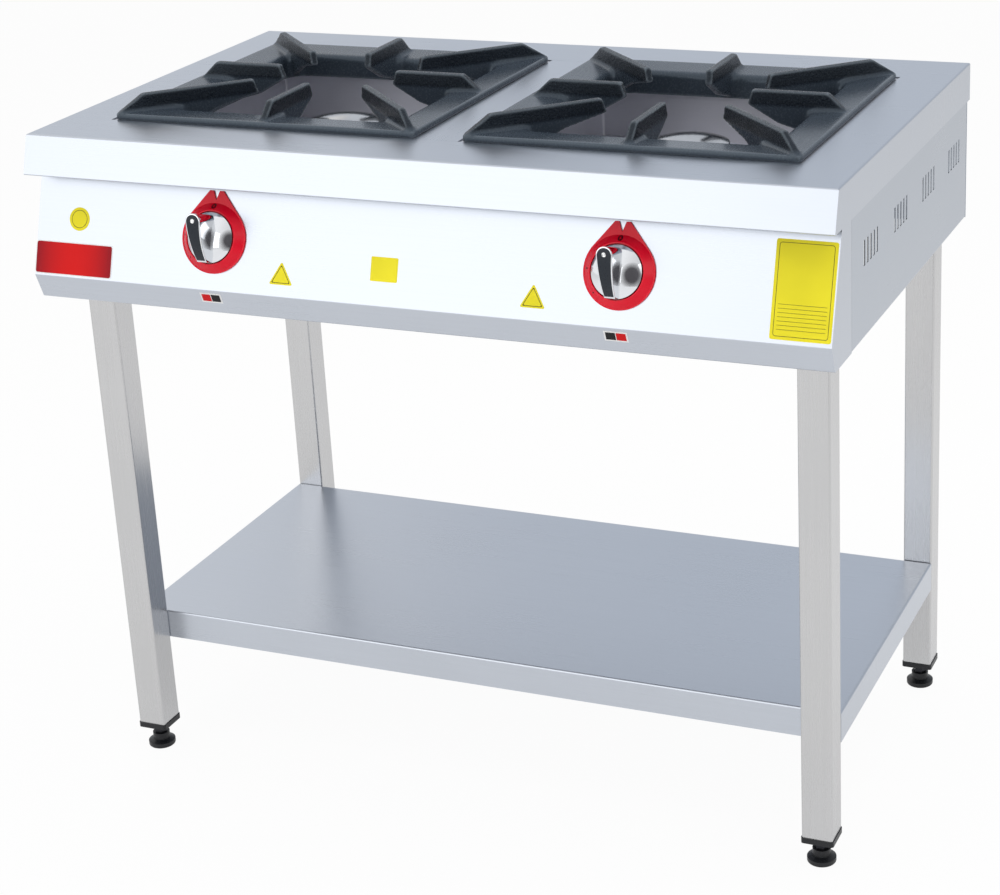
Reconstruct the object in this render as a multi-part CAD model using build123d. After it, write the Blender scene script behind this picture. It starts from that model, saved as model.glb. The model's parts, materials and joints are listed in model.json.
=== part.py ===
from build123d import *
import math
import os

# Two-burner stock pot range: a folded stainless body on four square legs, with a low shelf,
# two cast-iron grates, two burners in deep pans, and two gas taps behind a leaning front panel.
# Millimetres. X runs to the user's right, Y to the back, Z up from the floor. While it is
# modelled, Y = 0 is the middle of the top plate; the last lines move it to the middle of the whole.

# ---------------------------------------------------------------- driving dimensions
height = 850.0            # floor to the top plate's face
grate_size = 402.0        # each cast grate is square
grate_gap = 3.0           # round each grate in the top's opening
side_margin = 65.0        # top plate outside the opening
front_margin = 84.2
back_margin = 92.8
divider_width = 54.0      # strip between the two grates

top_sheet = 1.5
band_height = 47.0        # folded edge of the top plate
band_flare = 15.0         # how far the front band leans out at its foot
band_return = 12.0        # hem folded inwards under the front band
edge_radius = 2.5         # outer radius of every fold
band_gap = 1.0            # between the band's inside and the body panels
seam_gap = 0.3

body_sheet = 1.2          # front and side panels
back_sheet = 1.0
body_depth = 200.0        # from the top plate's face down to the body's lower edge
body_roof_gap = 4.0       # body panels stop this far under the top plate's face
panel_lean = 18.4         # degrees, control panel from the vertical
nose_drop = 169.0         # the panel's foremost fold, below the top plate's face
nose_reach = 20.5         # and in front of its edge
lip_reach = 8.5           # the panel's lower fold, in front of the top plate's edge
seam_inset = 55.0         # where the front panel's end meets the side panel
side_flange = 22.0        # inward folds of the side panels

leg_size = 38.0
leg_wall = 1.5
leg_radius = 2.5
leg_side_inset = 44.0     # leg centres, inside the top plate's edges
leg_front_inset = 67.3
leg_back_inset = 51.7
leg_bottom = 39.0

grate_proud = 7.0         # rim above the top plate
grate_corner = 6.0
rim_width = 4.0
dish_drop = 2.5           # flange slopes down towards the middle
flange_thickness = 9.5
well_margin = 49.0        # from the grate's edge to the opening inside its skirt
well_taper = 2.0
well_corner = 26.0
skirt_depth = 25.0        # below the top plate's face
skirt_wall = 5.0
roll_radius = 8.0
roll_land = 3.0           # flat left between the dish and the roll
grate_locator_gap = 2.0   # between the grate's under-flange and the pan's wall
fin_height = 27.5         # crests above the top plate's face
fin_thickness = 9.0
fin_rounding = 2.8
fin_nose = 17.5           # height of the blunt inner end
# Each fin: tip and crest_out lie inside the grate's edge, the others are from its middle,
# and the knee is the lowest point of the undercut, below the crest.
corner_fin = dict(tip=4.3, crest_out=36.3, crest_in=110.0, nose=104.0, heel=158.0, knee=29.5)
middle_fin = dict(tip=5.0, crest_out=28.0, crest_in=82.0, nose=76.0, heel=113.0, knee=38.5)

pan_sheet = 1.0
pan_depth = 90.0          # from the top plate's face to the pan's floor
pan_margin = 18.0         # pan's walls stand this far inside the grate's edge
pan_corner = 4.0
pan_seat = 5.0            # how far the pans' flanges lie on the side rails
pan_hole_r = 33.0

rib_clearance = 2.0       # between the divider's channel and the pans' flanges
rib_depth = 18.0
rib_inset = 20.0

rail_height = 35.0
rail_sheet = 2.0

burner_foot_r = 50.0
burner_foot = 5.0
burner_foot_slope = 3.0   # the foot thickens towards the column
burner_column_r = 34.0
burner_head_r = 46.0
burner_head_rise = 31.0   # underside of the head, above the pan's floor
burner_rim_rise = 45.0
burner_shoulder = 8.0     # height of the flare under the head
burner_wall = 5.0
burner_neck_r = 30.0
burner_neck_drop = 40.0   # below the pan's floor
port_count = 18
port_width = 3.5
port_depth = 5.0
cap_r = 50.0
cap_edge = 3.5
cap_bevel = 1.0
cap_height = 12.0
cap_lip = 5.0
cap_lip_wall = 4.0
cap_clearance = 0.4
burner_screw_circle = 42.0
burner_screw_r = 2.5
burner_screw_head = 3.0
burner_screw_across = 8.0
burner_screw_length = 16.0
burner_screw_count = 3

mix_drop = 18.0           # axis of the gas and air path, below the pan's floor
mix_mouth_reach = 78.0    # from the tap's outlet to the venturi's mouth
mix_mouth_r = 16.0
mix_throat_r = 10.0
mix_end_r = 13.0
mix_wall = 2.5
mix_flare = 22.0          # length from the mouth to the throat
mix_throat = 8.0
mix_entry = 3.0           # the venturi's end stands off the burner's neck inside its socket
mix_socket = 16.5         # radius of the burner's socket round it
mix_socket_length = 15.0
air_window = 13.0
yoke_plate = 4.0
yoke_arm = 6.0
injector_r = 5.0
injector_hex = 14.0
injector_head = 10.0
injector_nose = 9.0
injector_step = 3.0
injector_shoulder = 1.0
injector_tip_r = 1.6
thread_clearance = 0.05
supply_r = 4.0
supply_bend = 12.0
supply_straight = 12.0
supply_socket = 6.0

manifold_r = 10.65        # half-inch pipe
manifold_bore_r = 8.0
manifold_depth = 61.0     # along the tap axis, behind the panel face
manifold_overhang = 46.5  # beyond the left tap
manifold_leg_gap = 61.0   # from the right legs' middle to the pipe's run to the back
manifold_bend = 32.0
manifold_cap_r = 13.6
manifold_cap = 6.0
inlet_thread_r = 10.48
inlet_thread = 13.5       # free length beyond the lock nut
inlet_socket = 24.0
inlet_nut = 27.0          # across flats
inlet_nut_thickness = 6.0
inlet_hole_r = 13.0
inlet_hole_gap = 0.5

knob_inset = 246.5        # tap centres, inside the top plate's edges
knob_up_slope = 62.0      # tap axis, measured up the panel from its nose
spindle_r = 4.0
spindle_clearance = 0.05
spindle_tail = 34.0       # behind the panel face
spindle_end = 17.0
spindle_collar_r = 6.2
collar_back = 1.9         # front of the collar, behind the panel face
collar_thickness = 1.6
washer_r = 9.0
washer_thickness = 1.2
washer_clearance = 0.3
spring_wire_r = 0.45
spring_r = 7.3
spring_turns = 3
tap_travel = 4.0          # push-in before the tap turns
bonnet_r = 12.5
bonnet_back = 6.0         # bonnet's front, behind the panel face
bonnet_length = 13.0
bonnet_recess_r = 9.5
bonnet_recess = 11.0
tap_body = 28.0
tap_body_length = 57.0
tap_body_corner = 2.0
tap_outlet_r = 6.5
tap_outlet_reach = 55.4   # from the tap's centre on the panel, straight back
panel_hole_r = 8.0

rosette_r = 42.0
rosette_floor = 2.0
rosette_ring_r = 40.5
rosette_mouth_r = 31.0
rosette_mouth_wall = 1.2
rosette_rise = 10.0
rosette_hole_r = 10.5
prong_top = 55.0
prong_half = 9.0
notch_half = 4.3
notch_bottom = 43.5

knob_r = 29.5
knob_gap = 0.3            # left over the rosette's floor when pushed in
knob_skirt = 4.0
dome_top = 20.0
knob_wall = 2.4
knob_hub_r = 8.0
# Side view of the handle's arched crest: (up the panel from the tap's axis, out of the panel).
handle_crest = ((26.5, 53.0), (0.0, 45.0), (-29.0, 24.0))
handle_end = 16.5         # centre of the rounded upper end
handle_end_r = 9.8
handle_tail_r = 8.0
handle_root_end = 20.0
handle_root_r = 6.5
handle_root_tail_r = 5.5
handle_edge = 0.8
handle_overrun = 5.0      # outlines run on past the cut lower end
inlay_depth = 1.0
inlay_proud = 0.3
inlay_border = 1.6
inlay_tail = 1.8          # the inlay stops short of the handle's cut lower end
inlay_clearance = 0.05

plug_flange = 7.0
plug_overhang = 1.0
plug_insert = 26.0
plug_clearance = 0.2
stem_r = 4.95             # M10 levelling stud
stem_clearance = 0.05
stem_reach = 35.0         # above the legs' lower ends
stem_seat = 4.0
stem_hex = 15.0
stem_hex_height = 6.0
foot_r = 17.5
foot_edge = 7.0
foot_slope = 3.0
foot_hub_r = 11.0
foot_hub_top = 18.8
foot_hub_gap = 0.2
foot_rounding = 2.5

shelf_top = 190.0
shelf_band = 38.0
shelf_sheet = 1.2
shelf_return = 14.0
stiffener_width = 60.0
stiffener_depth = 24.0
stiffener_end_gap = 40.0
shelf_bolt_r = 3.0
shelf_bolt_across = 10.0
shelf_bolt_head = 4.0
shelf_bolt_length = 14.0
shelf_bolt_drop = 19.0
bolt_clearance = 0.1

vent_drop = 102.0         # the slots' middle, below the top plate's face
vent_first = 131.7        # first group's middle, behind the top plate's front edge
vent_spacing = 127.5
vent_group_count = 4
vent_slots = 5
vent_pitch = 12.9
vent_width = 5.5
vent_length = 29.0

back_screw_drops = (74.0, 170.0)
back_screw_r = 2.4
back_screw_across = 8.0
back_screw_head = 2.6
back_screw_length = 9.0

# ---------------------------------------------------------------- derived places
cut_half = grate_size / 2 + grate_gap
width = 2 * (side_margin + 2 * cut_half) + divider_width
depth = front_margin + 2 * cut_half + back_margin
half_width = width / 2
half_depth = depth / 2
top_under = height - top_sheet
carrier_z = top_under - pan_sheet            # the pans' flanges lie on this height
band_bottom = height - band_height
band_foot_y = -half_depth - band_flare

body_x = half_width - top_sheet - band_gap   # outer face of the side panels
body_back = half_depth - top_sheet - band_gap
body_roof = height - body_roof_gap
body_bottom = height - body_depth
nose_y = -half_depth - nose_reach
nose_z = height - nose_drop
lip_y = -half_depth - lip_reach
seam_y = -half_depth + seam_inset

leg_x = half_width - leg_side_inset
leg_front_y = -half_depth + leg_front_inset
leg_back_y = half_depth - leg_back_inset
leg_outer_x = leg_x + leg_size / 2
leg_front_face = leg_front_y - leg_size / 2
leg_back_face = leg_back_y + leg_size / 2
leg_places = {
    "front_left": (-leg_x, leg_front_y),
    "front_right": (leg_x, leg_front_y),
    "back_left": (-leg_x, leg_back_y),
    "back_right": (leg_x, leg_back_y),
}
sides = {"left": -1, "right": 1}
shelf_front = leg_front_y + leg_size / 2
shelf_back = leg_back_y - leg_size / 2

grate_x = divider_width / 2 + cut_half
grate_y = -half_depth + front_margin + cut_half
rim_top = height + grate_proud
well_half = grate_size / 2 - well_margin
skirt_bottom = height - skirt_depth
fin_top = height + fin_height
pan_size = grate_size - 2 * pan_margin       # inside
pan_floor = height - pan_depth
pan_flange = leg_x - leg_size / 2 + pan_seat - grate_x - pan_size / 2
rib_half = grate_x - pan_size / 2 - pan_flange - rib_clearance

burner_head_z = pan_floor + burner_head_rise
burner_rim_z = pan_floor + burner_rim_rise
burner_neck_z = pan_floor - burner_neck_drop
cap_top_z = burner_rim_z + cap_height

lean = math.radians(panel_lean)
panel_up = Vector(0, math.sin(lean), math.cos(lean))
panel_out = Vector(0, -math.cos(lean), math.sin(lean))
knob_x = half_width - knob_inset
tap_origin = Vector(0, nose_y, nose_z) + panel_up * knob_up_slope
bonnet_end = bonnet_back + bonnet_length
washer_back = -collar_back - collar_thickness - washer_thickness
tap_outlet_y = tap_origin.Y + tap_outlet_reach
mix_z = pan_floor - mix_drop
mix_mouth_y = tap_outlet_y + mix_mouth_reach
injector_front = mix_mouth_y - air_window - yoke_plate
manifold_centre = tap_origin - panel_out * manifold_depth
manifold_left_x = -knob_x - manifold_overhang
manifold_turn_x = leg_x - manifold_leg_gap
inlet_end = body_back + inlet_nut_thickness + inlet_thread

stem_hex_bottom = foot_hub_top + foot_hub_gap
stem_top = leg_bottom + stem_reach
vent_z = height - vent_drop
vent_groups = [vent_first - half_depth + k * vent_spacing for k in range(vent_group_count)]
back_screw_heights = [height - drop for drop in back_screw_drops]

parts = {}


def panel_y(z):
    """Y of the control panel's outer face at height z."""
    return nose_y + (z - nose_z) * math.tan(lean)


def tap_frame(x):
    """Plane on the panel's outer face at a tap: x right, y up the slope, z out of the panel."""
    return Plane(origin=tap_origin + Vector(x, 0, 0), x_dir=(1, 0, 0), z_dir=panel_out)


def block(x0, x1, y0, y1, z0, z1):
    """Box between two corners."""
    middle = Pos((x0 + x1) / 2, (y0 + y1) / 2, (z0 + z1) / 2)
    return middle * Box(abs(x1 - x0), abs(y1 - y0), abs(z1 - z0))


def rod(radius, start, end):
    """Round bar between two points."""
    start = Vector(*start)
    along = Vector(*end) - start
    return extrude(Plane(origin=start, z_dir=along) * Circle(radius), along.length)


def prism(points, x0, x1):
    """Outline in Y and Z carried along X."""
    face = make_face(Polyline(*[(x0, y, z) for y, z in points], close=True))
    return extrude(face, x1 - x0, dir=(1, 0, 0))


def spin(points, axis=Axis.Z):
    """Turned part from an outline of (radius, height) points."""
    face = make_face(Polyline(*[(r, 0, z) for r, z in points], close=True))
    return revolve(face, axis)


def folded(solid, wall, open_faces):
    """Thin-walled shell of a solid, open at the faces given."""
    return offset(solid, amount=-wall, openings=open_faces, kind=Kind.ARC)


def hexagon(across):
    """Hexagon of a spanner size."""
    return RegularPolygon(across / 2, 6, major_radius=False)


def hex_bolt(radius, length, across, head, seat, along):
    """Bolt whose head seats at a point, with its shank running along a direction from there."""
    frame = Plane(origin=seat, z_dir=along)
    return extrude(frame * Circle(radius), length) + extrude(frame * hexagon(across), -head)


def pad(half, corner, z0, z1, top_half=None):
    """Square plate or square taper about Z with rounded corners."""
    low = Pos(0, 0, z0) * RectangleRounded(2 * half, 2 * half, corner)
    if top_half is None:
        return extrude(low, z1 - z0)
    high = Pos(0, 0, z1) * RectangleRounded(2 * top_half, 2 * top_half, corner)
    return loft([low, high])


# ---------------------------------------------------------------- body
def top_plate():
    outline = [
        (-half_depth, height),
        (half_depth, height),
        (half_depth, band_bottom),
        (band_foot_y, band_bottom),
    ]
    lump = prism(outline, -half_width, half_width)
    lump = fillet(lump.edges().group_by(Axis.Z)[-1], edge_radius)
    tray = folded(lump, top_sheet, lump.faces().sort_by(Axis.Z)[0])
    hem_x = half_width - top_sheet
    hem_y = band_foot_y + top_sheet
    hem = block(-hem_x, hem_x, hem_y - 1, hem_y + band_return, band_bottom, band_bottom + top_sheet)
    tray += hem
    foot = tray.edges().filter_by(Axis.X).group_by(Axis.Z)[0].sort_by(Axis.Y)[0]
    tray = fillet(foot, top_sheet * 0.9)
    opening_x = grate_x + cut_half
    return tray - block(
        -opening_x, opening_x, grate_y - cut_half, grate_y + cut_half, band_bottom, height + 1
    )


def top_divider():
    """Strip between the grates, with a channel under it that stiffens it."""
    half = divider_width / 2
    end = cut_half - seam_gap
    rib_end = end - rib_inset
    rib_bottom = top_under - rib_depth
    groove = rib_half - top_sheet
    y = grate_y
    strip = block(-half, half, y - end, y + end, top_under, height)
    rib = block(-rib_half, rib_half, y - rib_end, y + rib_end, rib_bottom, top_under)
    rib -= block(-groove, groove, y - rib_end, y + rib_end, rib_bottom, top_under)
    return strip + rib


def leg_clearance():
    """Space kept free round the legs in the body's folds."""
    reach = leg_size / 2 + seam_gap
    return [
        block(x - reach, x + reach, y - reach, y + reach, leg_bottom, height)
        for x, y in leg_places.values()
    ]


def front_panel():
    outline = [
        (seam_y, body_roof),
        (panel_y(body_roof), body_roof),
        (nose_y, nose_z),
        (lip_y, body_bottom),
        (seam_y, body_bottom),
    ]
    lump = prism(outline, -body_x, body_x)
    folds = lump.edges().filter_by(Axis.X)
    lump = fillet([e for e in folds if e.center().Y < seam_y - 1], edge_radius)
    shell = folded(lump, body_sheet, lump.faces().sort_by(Axis.Y)[-1])
    reach = leg_outer_x + seam_gap
    shell -= block(-reach, reach, leg_front_face - seam_gap, seam_y + 1, body_bottom, height)
    for side in sides.values():
        plane = tap_frame(side * knob_x)
        shell -= extrude(plane * Circle(panel_hole_r), 4 * body_sheet, both=True)
    return shell


def side_panel(side):
    inner = side * (body_x - side_flange)
    outer = side * body_x
    back = body_back - back_sheet
    lump = block(inner, outer, seam_y + seam_gap, back, body_bottom, body_roof)
    folds = [e for e in lump.edges() if side * e.center().X > body_x - 1 and e.center().Y > seam_y + 1]
    lump = fillet(folds, edge_radius)
    inward = lump.faces().sort_by(Axis.X)[0 if side > 0 else -1]
    shell = folded(lump, body_sheet, [lump.faces().sort_by(Axis.Y)[0], inward])
    for group in vent_groups:
        for slot in range(vent_slots):
            y = group + (slot - (vent_slots - 1) / 2) * vent_pitch
            shell -= block(
                side * (body_x - 2 * body_sheet), side * (body_x + 1),
                y - vent_width / 2, y + vent_width / 2,
                vent_z - vent_length / 2, vent_z + vent_length / 2,
            )
    for hole in back_screw_holes():
        shell -= hole
    for space in leg_clearance():
        shell -= space
    return shell


def back_screw_places():
    """Where each screw's head seats on the back panel."""
    x = body_x - side_flange / 2
    return [(side * x, body_back, z) for side in sides.values() for z in back_screw_heights]


def back_screw_holes():
    radius = back_screw_r + bolt_clearance
    return [
        rod(radius, (x, y - back_screw_length, z), (x, y + 1, z)) for x, y, z in back_screw_places()
    ]


def back_panel():
    inner = body_back - back_sheet
    panel = block(-body_x, body_x, inner, body_back, body_bottom, body_roof)
    reach = body_x - side_flange - seam_gap
    panel += block(-reach, reach, leg_back_face, inner, body_bottom, body_bottom + back_sheet)
    for hole in back_screw_holes():
        panel -= hole
    x = manifold_turn_x
    z = manifold_centre.Z
    return panel - rod(inlet_hole_r, (x, inner - 1, z), (x, body_back + 1, z))


def back_panel_screws():
    return [
        hex_bolt(back_screw_r, back_screw_length, back_screw_across, back_screw_head, place, (0, -1, 0))
        for place in back_screw_places()
    ]


def rail(along_x, centre):
    """Folded channel between two legs, open downwards, with its top where the pans' flanges lie."""
    low = carrier_z - rail_height
    half = leg_size / 2
    if along_x:
        x0, x1, y0, y1 = -leg_x + half, leg_x - half, centre - half, centre + half
        groove = block(x0, x1, y0 + rail_sheet, y1 - rail_sheet, low, carrier_z - rail_sheet)
    else:
        x0, x1, y0, y1 = centre - half, centre + half, leg_front_y + half, leg_back_y - half
        groove = block(x0 + rail_sheet, x1 - rail_sheet, y0, y1, low, carrier_z - rail_sheet)
    return block(x0, x1, y0, y1, low, carrier_z) - groove


# ---------------------------------------------------------------- legs, feet and shelf
def leg(x, y):
    outer = RectangleRounded(leg_size, leg_size, leg_radius)
    inner = RectangleRounded(
        leg_size - 2 * leg_wall, leg_size - 2 * leg_wall, leg_radius - leg_wall
    )
    tube = extrude(Pos(x, y, leg_bottom) * (outer - inner), carrier_z - leg_bottom)
    seat, along = shelf_bolt_place(x, y)
    return tube - rod(shelf_bolt_r + bolt_clearance, seat, tuple(seat + along * shelf_bolt_length))


def leg_plug(x, y):
    """Moulded plug in a leg's end, with the thread for the levelling stud."""
    outside = leg_size + 2 * plug_overhang
    inside = leg_size - 2 * leg_wall - 2 * plug_clearance
    low = leg_bottom - plug_flange
    flange = RectangleRounded(outside, outside, leg_radius + plug_overhang)
    insert = RectangleRounded(inside, inside, leg_radius - leg_wall)
    plug = extrude(Pos(x, y, low) * flange, plug_flange)
    plug += extrude(Pos(x, y, leg_bottom) * insert, plug_insert)
    return plug - rod(stem_r + stem_clearance, (x, y, low - 1), (x, y, leg_bottom + plug_insert + 1))


def foot_stem(x, y):
    stud = rod(stem_r, (x, y, stem_seat), (x, y, stem_top))
    return stud + extrude(Pos(x, y, stem_hex_bottom) * hexagon(stem_hex), stem_hex_height)


def foot_pad(x, y):
    cup = spin([
        (0, 0), (foot_r, 0), (foot_r, foot_edge), (foot_hub_r, foot_edge + foot_slope),
        (foot_hub_r, foot_hub_top), (0, foot_hub_top),
    ])
    rim = cup.edges().filter_by(GeomType.CIRCLE).group_by(Axis.Z)[0]
    cup = fillet(rim, foot_rounding)
    return Pos(x, y, 0) * (cup - rod(stem_r + stem_clearance, (0, 0, stem_seat), (0, 0, foot_hub_top + 1)))


def shelf_bolt_place(x, y):
    """Where a bolt's head seats inside the shelf's band, and which way its shank runs into the leg."""
    z = shelf_top - shelf_bolt_drop
    if y < 0:
        return Vector(x, shelf_front + shelf_sheet, z), Vector(0, -1, 0)
    return Vector(x, shelf_back - shelf_sheet, z), Vector(0, 1, 0)


def shelf():
    low = shelf_top - shelf_band
    lump = block(-leg_outer_x, leg_outer_x, shelf_front, shelf_back, low, shelf_top)
    lump = fillet(lump.edges().group_by(Axis.Z)[-1], edge_radius)
    tray = folded(lump, shelf_sheet, lump.faces().sort_by(Axis.Z)[0])
    out_x = leg_outer_x - shelf_sheet
    in_x = out_x - shelf_return
    out_y = (shelf_back - shelf_front) / 2 - shelf_sheet
    in_y = out_y - shelf_return
    hem = block(-out_x, out_x, -out_y, out_y, low, low + shelf_sheet)
    hem -= block(-in_x, in_x, -in_y, in_y, low, low + shelf_sheet)
    tray += Pos(0, (shelf_front + shelf_back) / 2, 0) * hem
    for x, y in leg_places.values():
        seat, along = shelf_bolt_place(x, y)
        tray -= rod(shelf_bolt_r + bolt_clearance, tuple(seat - along), tuple(seat + along * 2 * shelf_sheet))
    return tray


def shelf_stiffener():
    """Channel under the middle of the shelf."""
    roof = shelf_top - shelf_sheet
    low = roof - stiffener_depth
    reach = leg_outer_x - stiffener_end_gap
    middle = (shelf_front + shelf_back) / 2
    half = stiffener_width / 2
    inner = half - shelf_sheet
    channel = block(-reach, reach, middle - half, middle + half, low, roof)
    return channel - block(-reach, reach, middle - inner, middle + inner, low, roof - shelf_sheet)


def shelf_bolts():
    return [
        hex_bolt(shelf_bolt_r, shelf_bolt_length, shelf_bolt_across, shelf_bolt_head, *shelf_bolt_place(x, y))
        for x, y in leg_places.values()
    ]


# ---------------------------------------------------------------- grates and pans
def fin(shape, reach, skirt_in):
    """One upright fin from its side view in (distance from the middle, height).

    reach is the distance to the grate's edge that way, and skirt_in to the skirt's inner face.
    """
    root = skirt_in + skirt_wall / 2
    root_low = skirt_bottom + fin_thickness / 4
    root_high = rim_top - flange_thickness + 1
    knee = fin_top - shape["knee"]
    tip = reach - shape["tip"]
    points = [
        (tip, rim_top - dish_drop / 5),
        (reach - shape["crest_out"], fin_top),
        (shape["crest_in"], fin_top),
        (shape["nose"], fin_top - fin_nose),
        (shape["heel"], knee),
        (root, root_low),
        (root, root_high),
        (tip - flange_thickness, root_high),
    ]
    face = make_face(Polyline(*[(t, 0, z) for t, z in points], close=True))
    blade = extrude(face, fin_thickness / 2, dir=(0, 1, 0), both=True)
    lowest = max(knee - 1, root_high + 1)
    upper = [
        e for e in blade.edges()
        if e.center().Z > lowest and abs(e.center().Y) > fin_thickness / 2 - 0.1
    ]
    return fillet(upper, fin_rounding)


def grate(side):
    """Cast plate with a dished flange, a tapered skirt, and eight fins that carry the pot."""
    half = grate_size / 2
    well_low = well_half - well_taper
    skirt_top = rim_top - flange_thickness
    dish_low = rim_top - dish_drop
    locator = pan_size / 2 - grate_locator_gap
    roll_edge = well_half + roll_radius + roll_land
    body = pad(half, grate_corner, top_under, rim_top)
    body += pad(locator, grate_corner, skirt_top - dish_drop, top_under + 1)
    body += pad(well_low + skirt_wall, well_corner, skirt_bottom, skirt_top, well_half + skirt_wall)
    body -= pad(roll_edge, grate_corner, dish_low, rim_top, half - rim_width)
    body -= pad(well_low, well_corner, skirt_bottom, rim_top, well_half)
    roll = [
        e for e in body.edges()
        if abs(e.center().Z - dish_low) < dish_drop / 8
        and max(abs(e.center().X), abs(e.center().Y)) < well_half + roll_land / 2
    ]
    body = fillet(roll, roll_radius)
    diagonal = math.sqrt(2)
    corner_in = well_low * diagonal - well_corner * (diagonal - 1)
    for quarter in range(4):
        body += Rot(0, 0, 90 * quarter) * fin(middle_fin, half, well_low)
        body += Rot(0, 0, 90 * quarter + 45) * fin(corner_fin, half * diagonal, corner_in)
    return Pos(side * grate_x, grate_y, 0) * body


def screw_circle(height_z):
    """Places of a burner's foot screws, at one height about the burner's middle."""
    ring = PolarLocations(burner_screw_circle, burner_screw_count, start_angle=90)
    return [Pos(0, 0, height_z) * place for place in ring]


def drip_pan(side):
    inside = pan_size / 2
    lump = pad(inside + pan_sheet, pan_corner + pan_sheet, pan_floor - pan_sheet, carrier_z)
    lump += pad(inside + pan_flange, pan_corner, carrier_z, top_under)
    lump -= pad(inside, pan_corner, pan_floor, top_under)
    lump -= Pos(0, 0, pan_floor) * Cylinder(pan_hole_r, 4 * pan_sheet)
    for place in screw_circle(pan_floor):
        lump -= place * Cylinder(burner_screw_r + bolt_clearance, 4 * pan_sheet)
    return Pos(side * grate_x, grate_y, 0) * lump


# ---------------------------------------------------------------- burners and gas
def burner_body(side):
    shoulder = burner_head_z - burner_shoulder
    chamber = burner_head_r - burner_wall
    bore = burner_neck_r - burner_wall
    foot_top = pan_floor + burner_foot
    body = spin([
        (0, burner_neck_z), (burner_neck_r, burner_neck_z), (burner_neck_r, pan_floor),
        (burner_foot_r, pan_floor), (burner_foot_r, foot_top),
        (burner_column_r, foot_top + burner_foot_slope), (burner_column_r, shoulder),
        (burner_head_r, burner_head_z), (burner_head_r, burner_rim_z), (0, burner_rim_z),
    ])
    hollow = spin([
        (0, burner_neck_z + burner_wall), (bore, burner_neck_z + burner_wall),
        (bore, shoulder), (chamber, burner_head_z + burner_wall / 2), (chamber, burner_rim_z + 1),
        (0, burner_rim_z + 1),
    ])
    socket_end = -burner_neck_r - mix_socket_length
    body += rod(mix_socket, (0, socket_end, mix_z), (0, -burner_neck_r / 2, mix_z))
    body -= hollow
    body -= rod(mix_end_r + thread_clearance, (0, socket_end - 1, mix_z), (0, 0, mix_z))
    slot = Pos(burner_head_r, 0, burner_rim_z) * Box(4 * burner_wall, port_width, 2 * port_depth)
    for place in PolarLocations(0, port_count):
        body -= place * slot
    spot_face = Pos(0, 0, burner_foot_slope) * Cylinder(burner_screw_across * 0.6, 2 * burner_foot_slope)
    for place in screw_circle(foot_top):
        body -= place * Cylinder(burner_screw_r + bolt_clearance, 4 * burner_foot)
        body -= place * spot_face
    return Pos(side * grate_x, grate_y, 0) * body


def burner_screws():
    """Screws that hold each burner's foot down on its pan."""
    seat = pan_floor + burner_foot
    screw = hex_bolt(
        burner_screw_r, burner_screw_length, burner_screw_across, burner_screw_head, (0, 0, 0), (0, 0, -1)
    )
    return [
        Pos(side * grate_x, grate_y, 0) * place * screw
        for side in sides.values() for place in screw_circle(seat)
    ]


def burner_cap(side):
    edge_top = burner_rim_z + cap_edge
    rise = cap_top_z - edge_top
    chord = cap_r - cap_bevel
    arch = (chord ** 2 + rise ** 2) / (2 * rise)
    mid_r = chord / 2
    mid_z = cap_top_z - arch + math.sqrt(arch ** 2 - mid_r ** 2)
    lip_r = burner_head_r - burner_wall - cap_clearance
    lip_in = lip_r - cap_lip_wall
    outline = [
        Line((0, 0, burner_rim_z), (lip_in, 0, burner_rim_z)),
        Line((lip_in, 0, burner_rim_z), (lip_in, 0, burner_rim_z - cap_lip)),
        Line((lip_in, 0, burner_rim_z - cap_lip), (lip_r, 0, burner_rim_z - cap_lip)),
        Line((lip_r, 0, burner_rim_z - cap_lip), (lip_r, 0, burner_rim_z)),
        Line((lip_r, 0, burner_rim_z), (cap_r, 0, burner_rim_z)),
        Line((cap_r, 0, burner_rim_z), (cap_r, 0, edge_top - cap_bevel)),
        Line((cap_r, 0, edge_top - cap_bevel), (chord, 0, edge_top)),
        ThreePointArc((chord, 0, edge_top), (mid_r, 0, mid_z), (0, 0, cap_top_z)),
        Line((0, 0, cap_top_z), (0, 0, burner_rim_z)),
    ]
    return Pos(side * grate_x, grate_y, 0) * revolve(make_face(outline), Axis.Z)


def mixing_tube(side):
    """Cast venturi: its flared mouth faces a yoke that holds the injector in free air."""
    mouth = mix_mouth_y - grate_y
    end = -burner_neck_r - mix_entry
    throat = mouth + mix_flare
    throat_end = throat + mix_throat
    plate = mouth - air_window
    outer = [
        (0, end), (mix_end_r, end), (mix_throat_r + mix_wall, throat_end),
        (mix_throat_r + mix_wall, throat), (mix_mouth_r, mouth), (0, mouth),
    ]
    inner = [
        (0, end + 1), (mix_end_r - mix_wall, end + 1), (mix_throat_r, throat_end),
        (mix_throat_r, throat), (mix_mouth_r - mix_wall, mouth), (mix_mouth_r - mix_wall, mouth - 1),
        (0, mouth - 1),
    ]
    tube = spin(outer) - spin(inner)
    tube += rod(mix_mouth_r, (0, 0, plate - yoke_plate), (0, 0, plate))
    arm_in = mix_mouth_r - mix_wall
    for across in (-1, 1):
        tube += block(
            across * arm_in, across * mix_mouth_r, -yoke_arm / 2, yoke_arm / 2, plate - 1, mouth + 2
        )
    tube -= rod(injector_r + thread_clearance, (0, 0, plate - yoke_plate - 1), (0, 0, plate + 1))
    return Pos(side * grate_x, grate_y, mix_z) * Rot(-90, 0, 0) * tube


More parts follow.
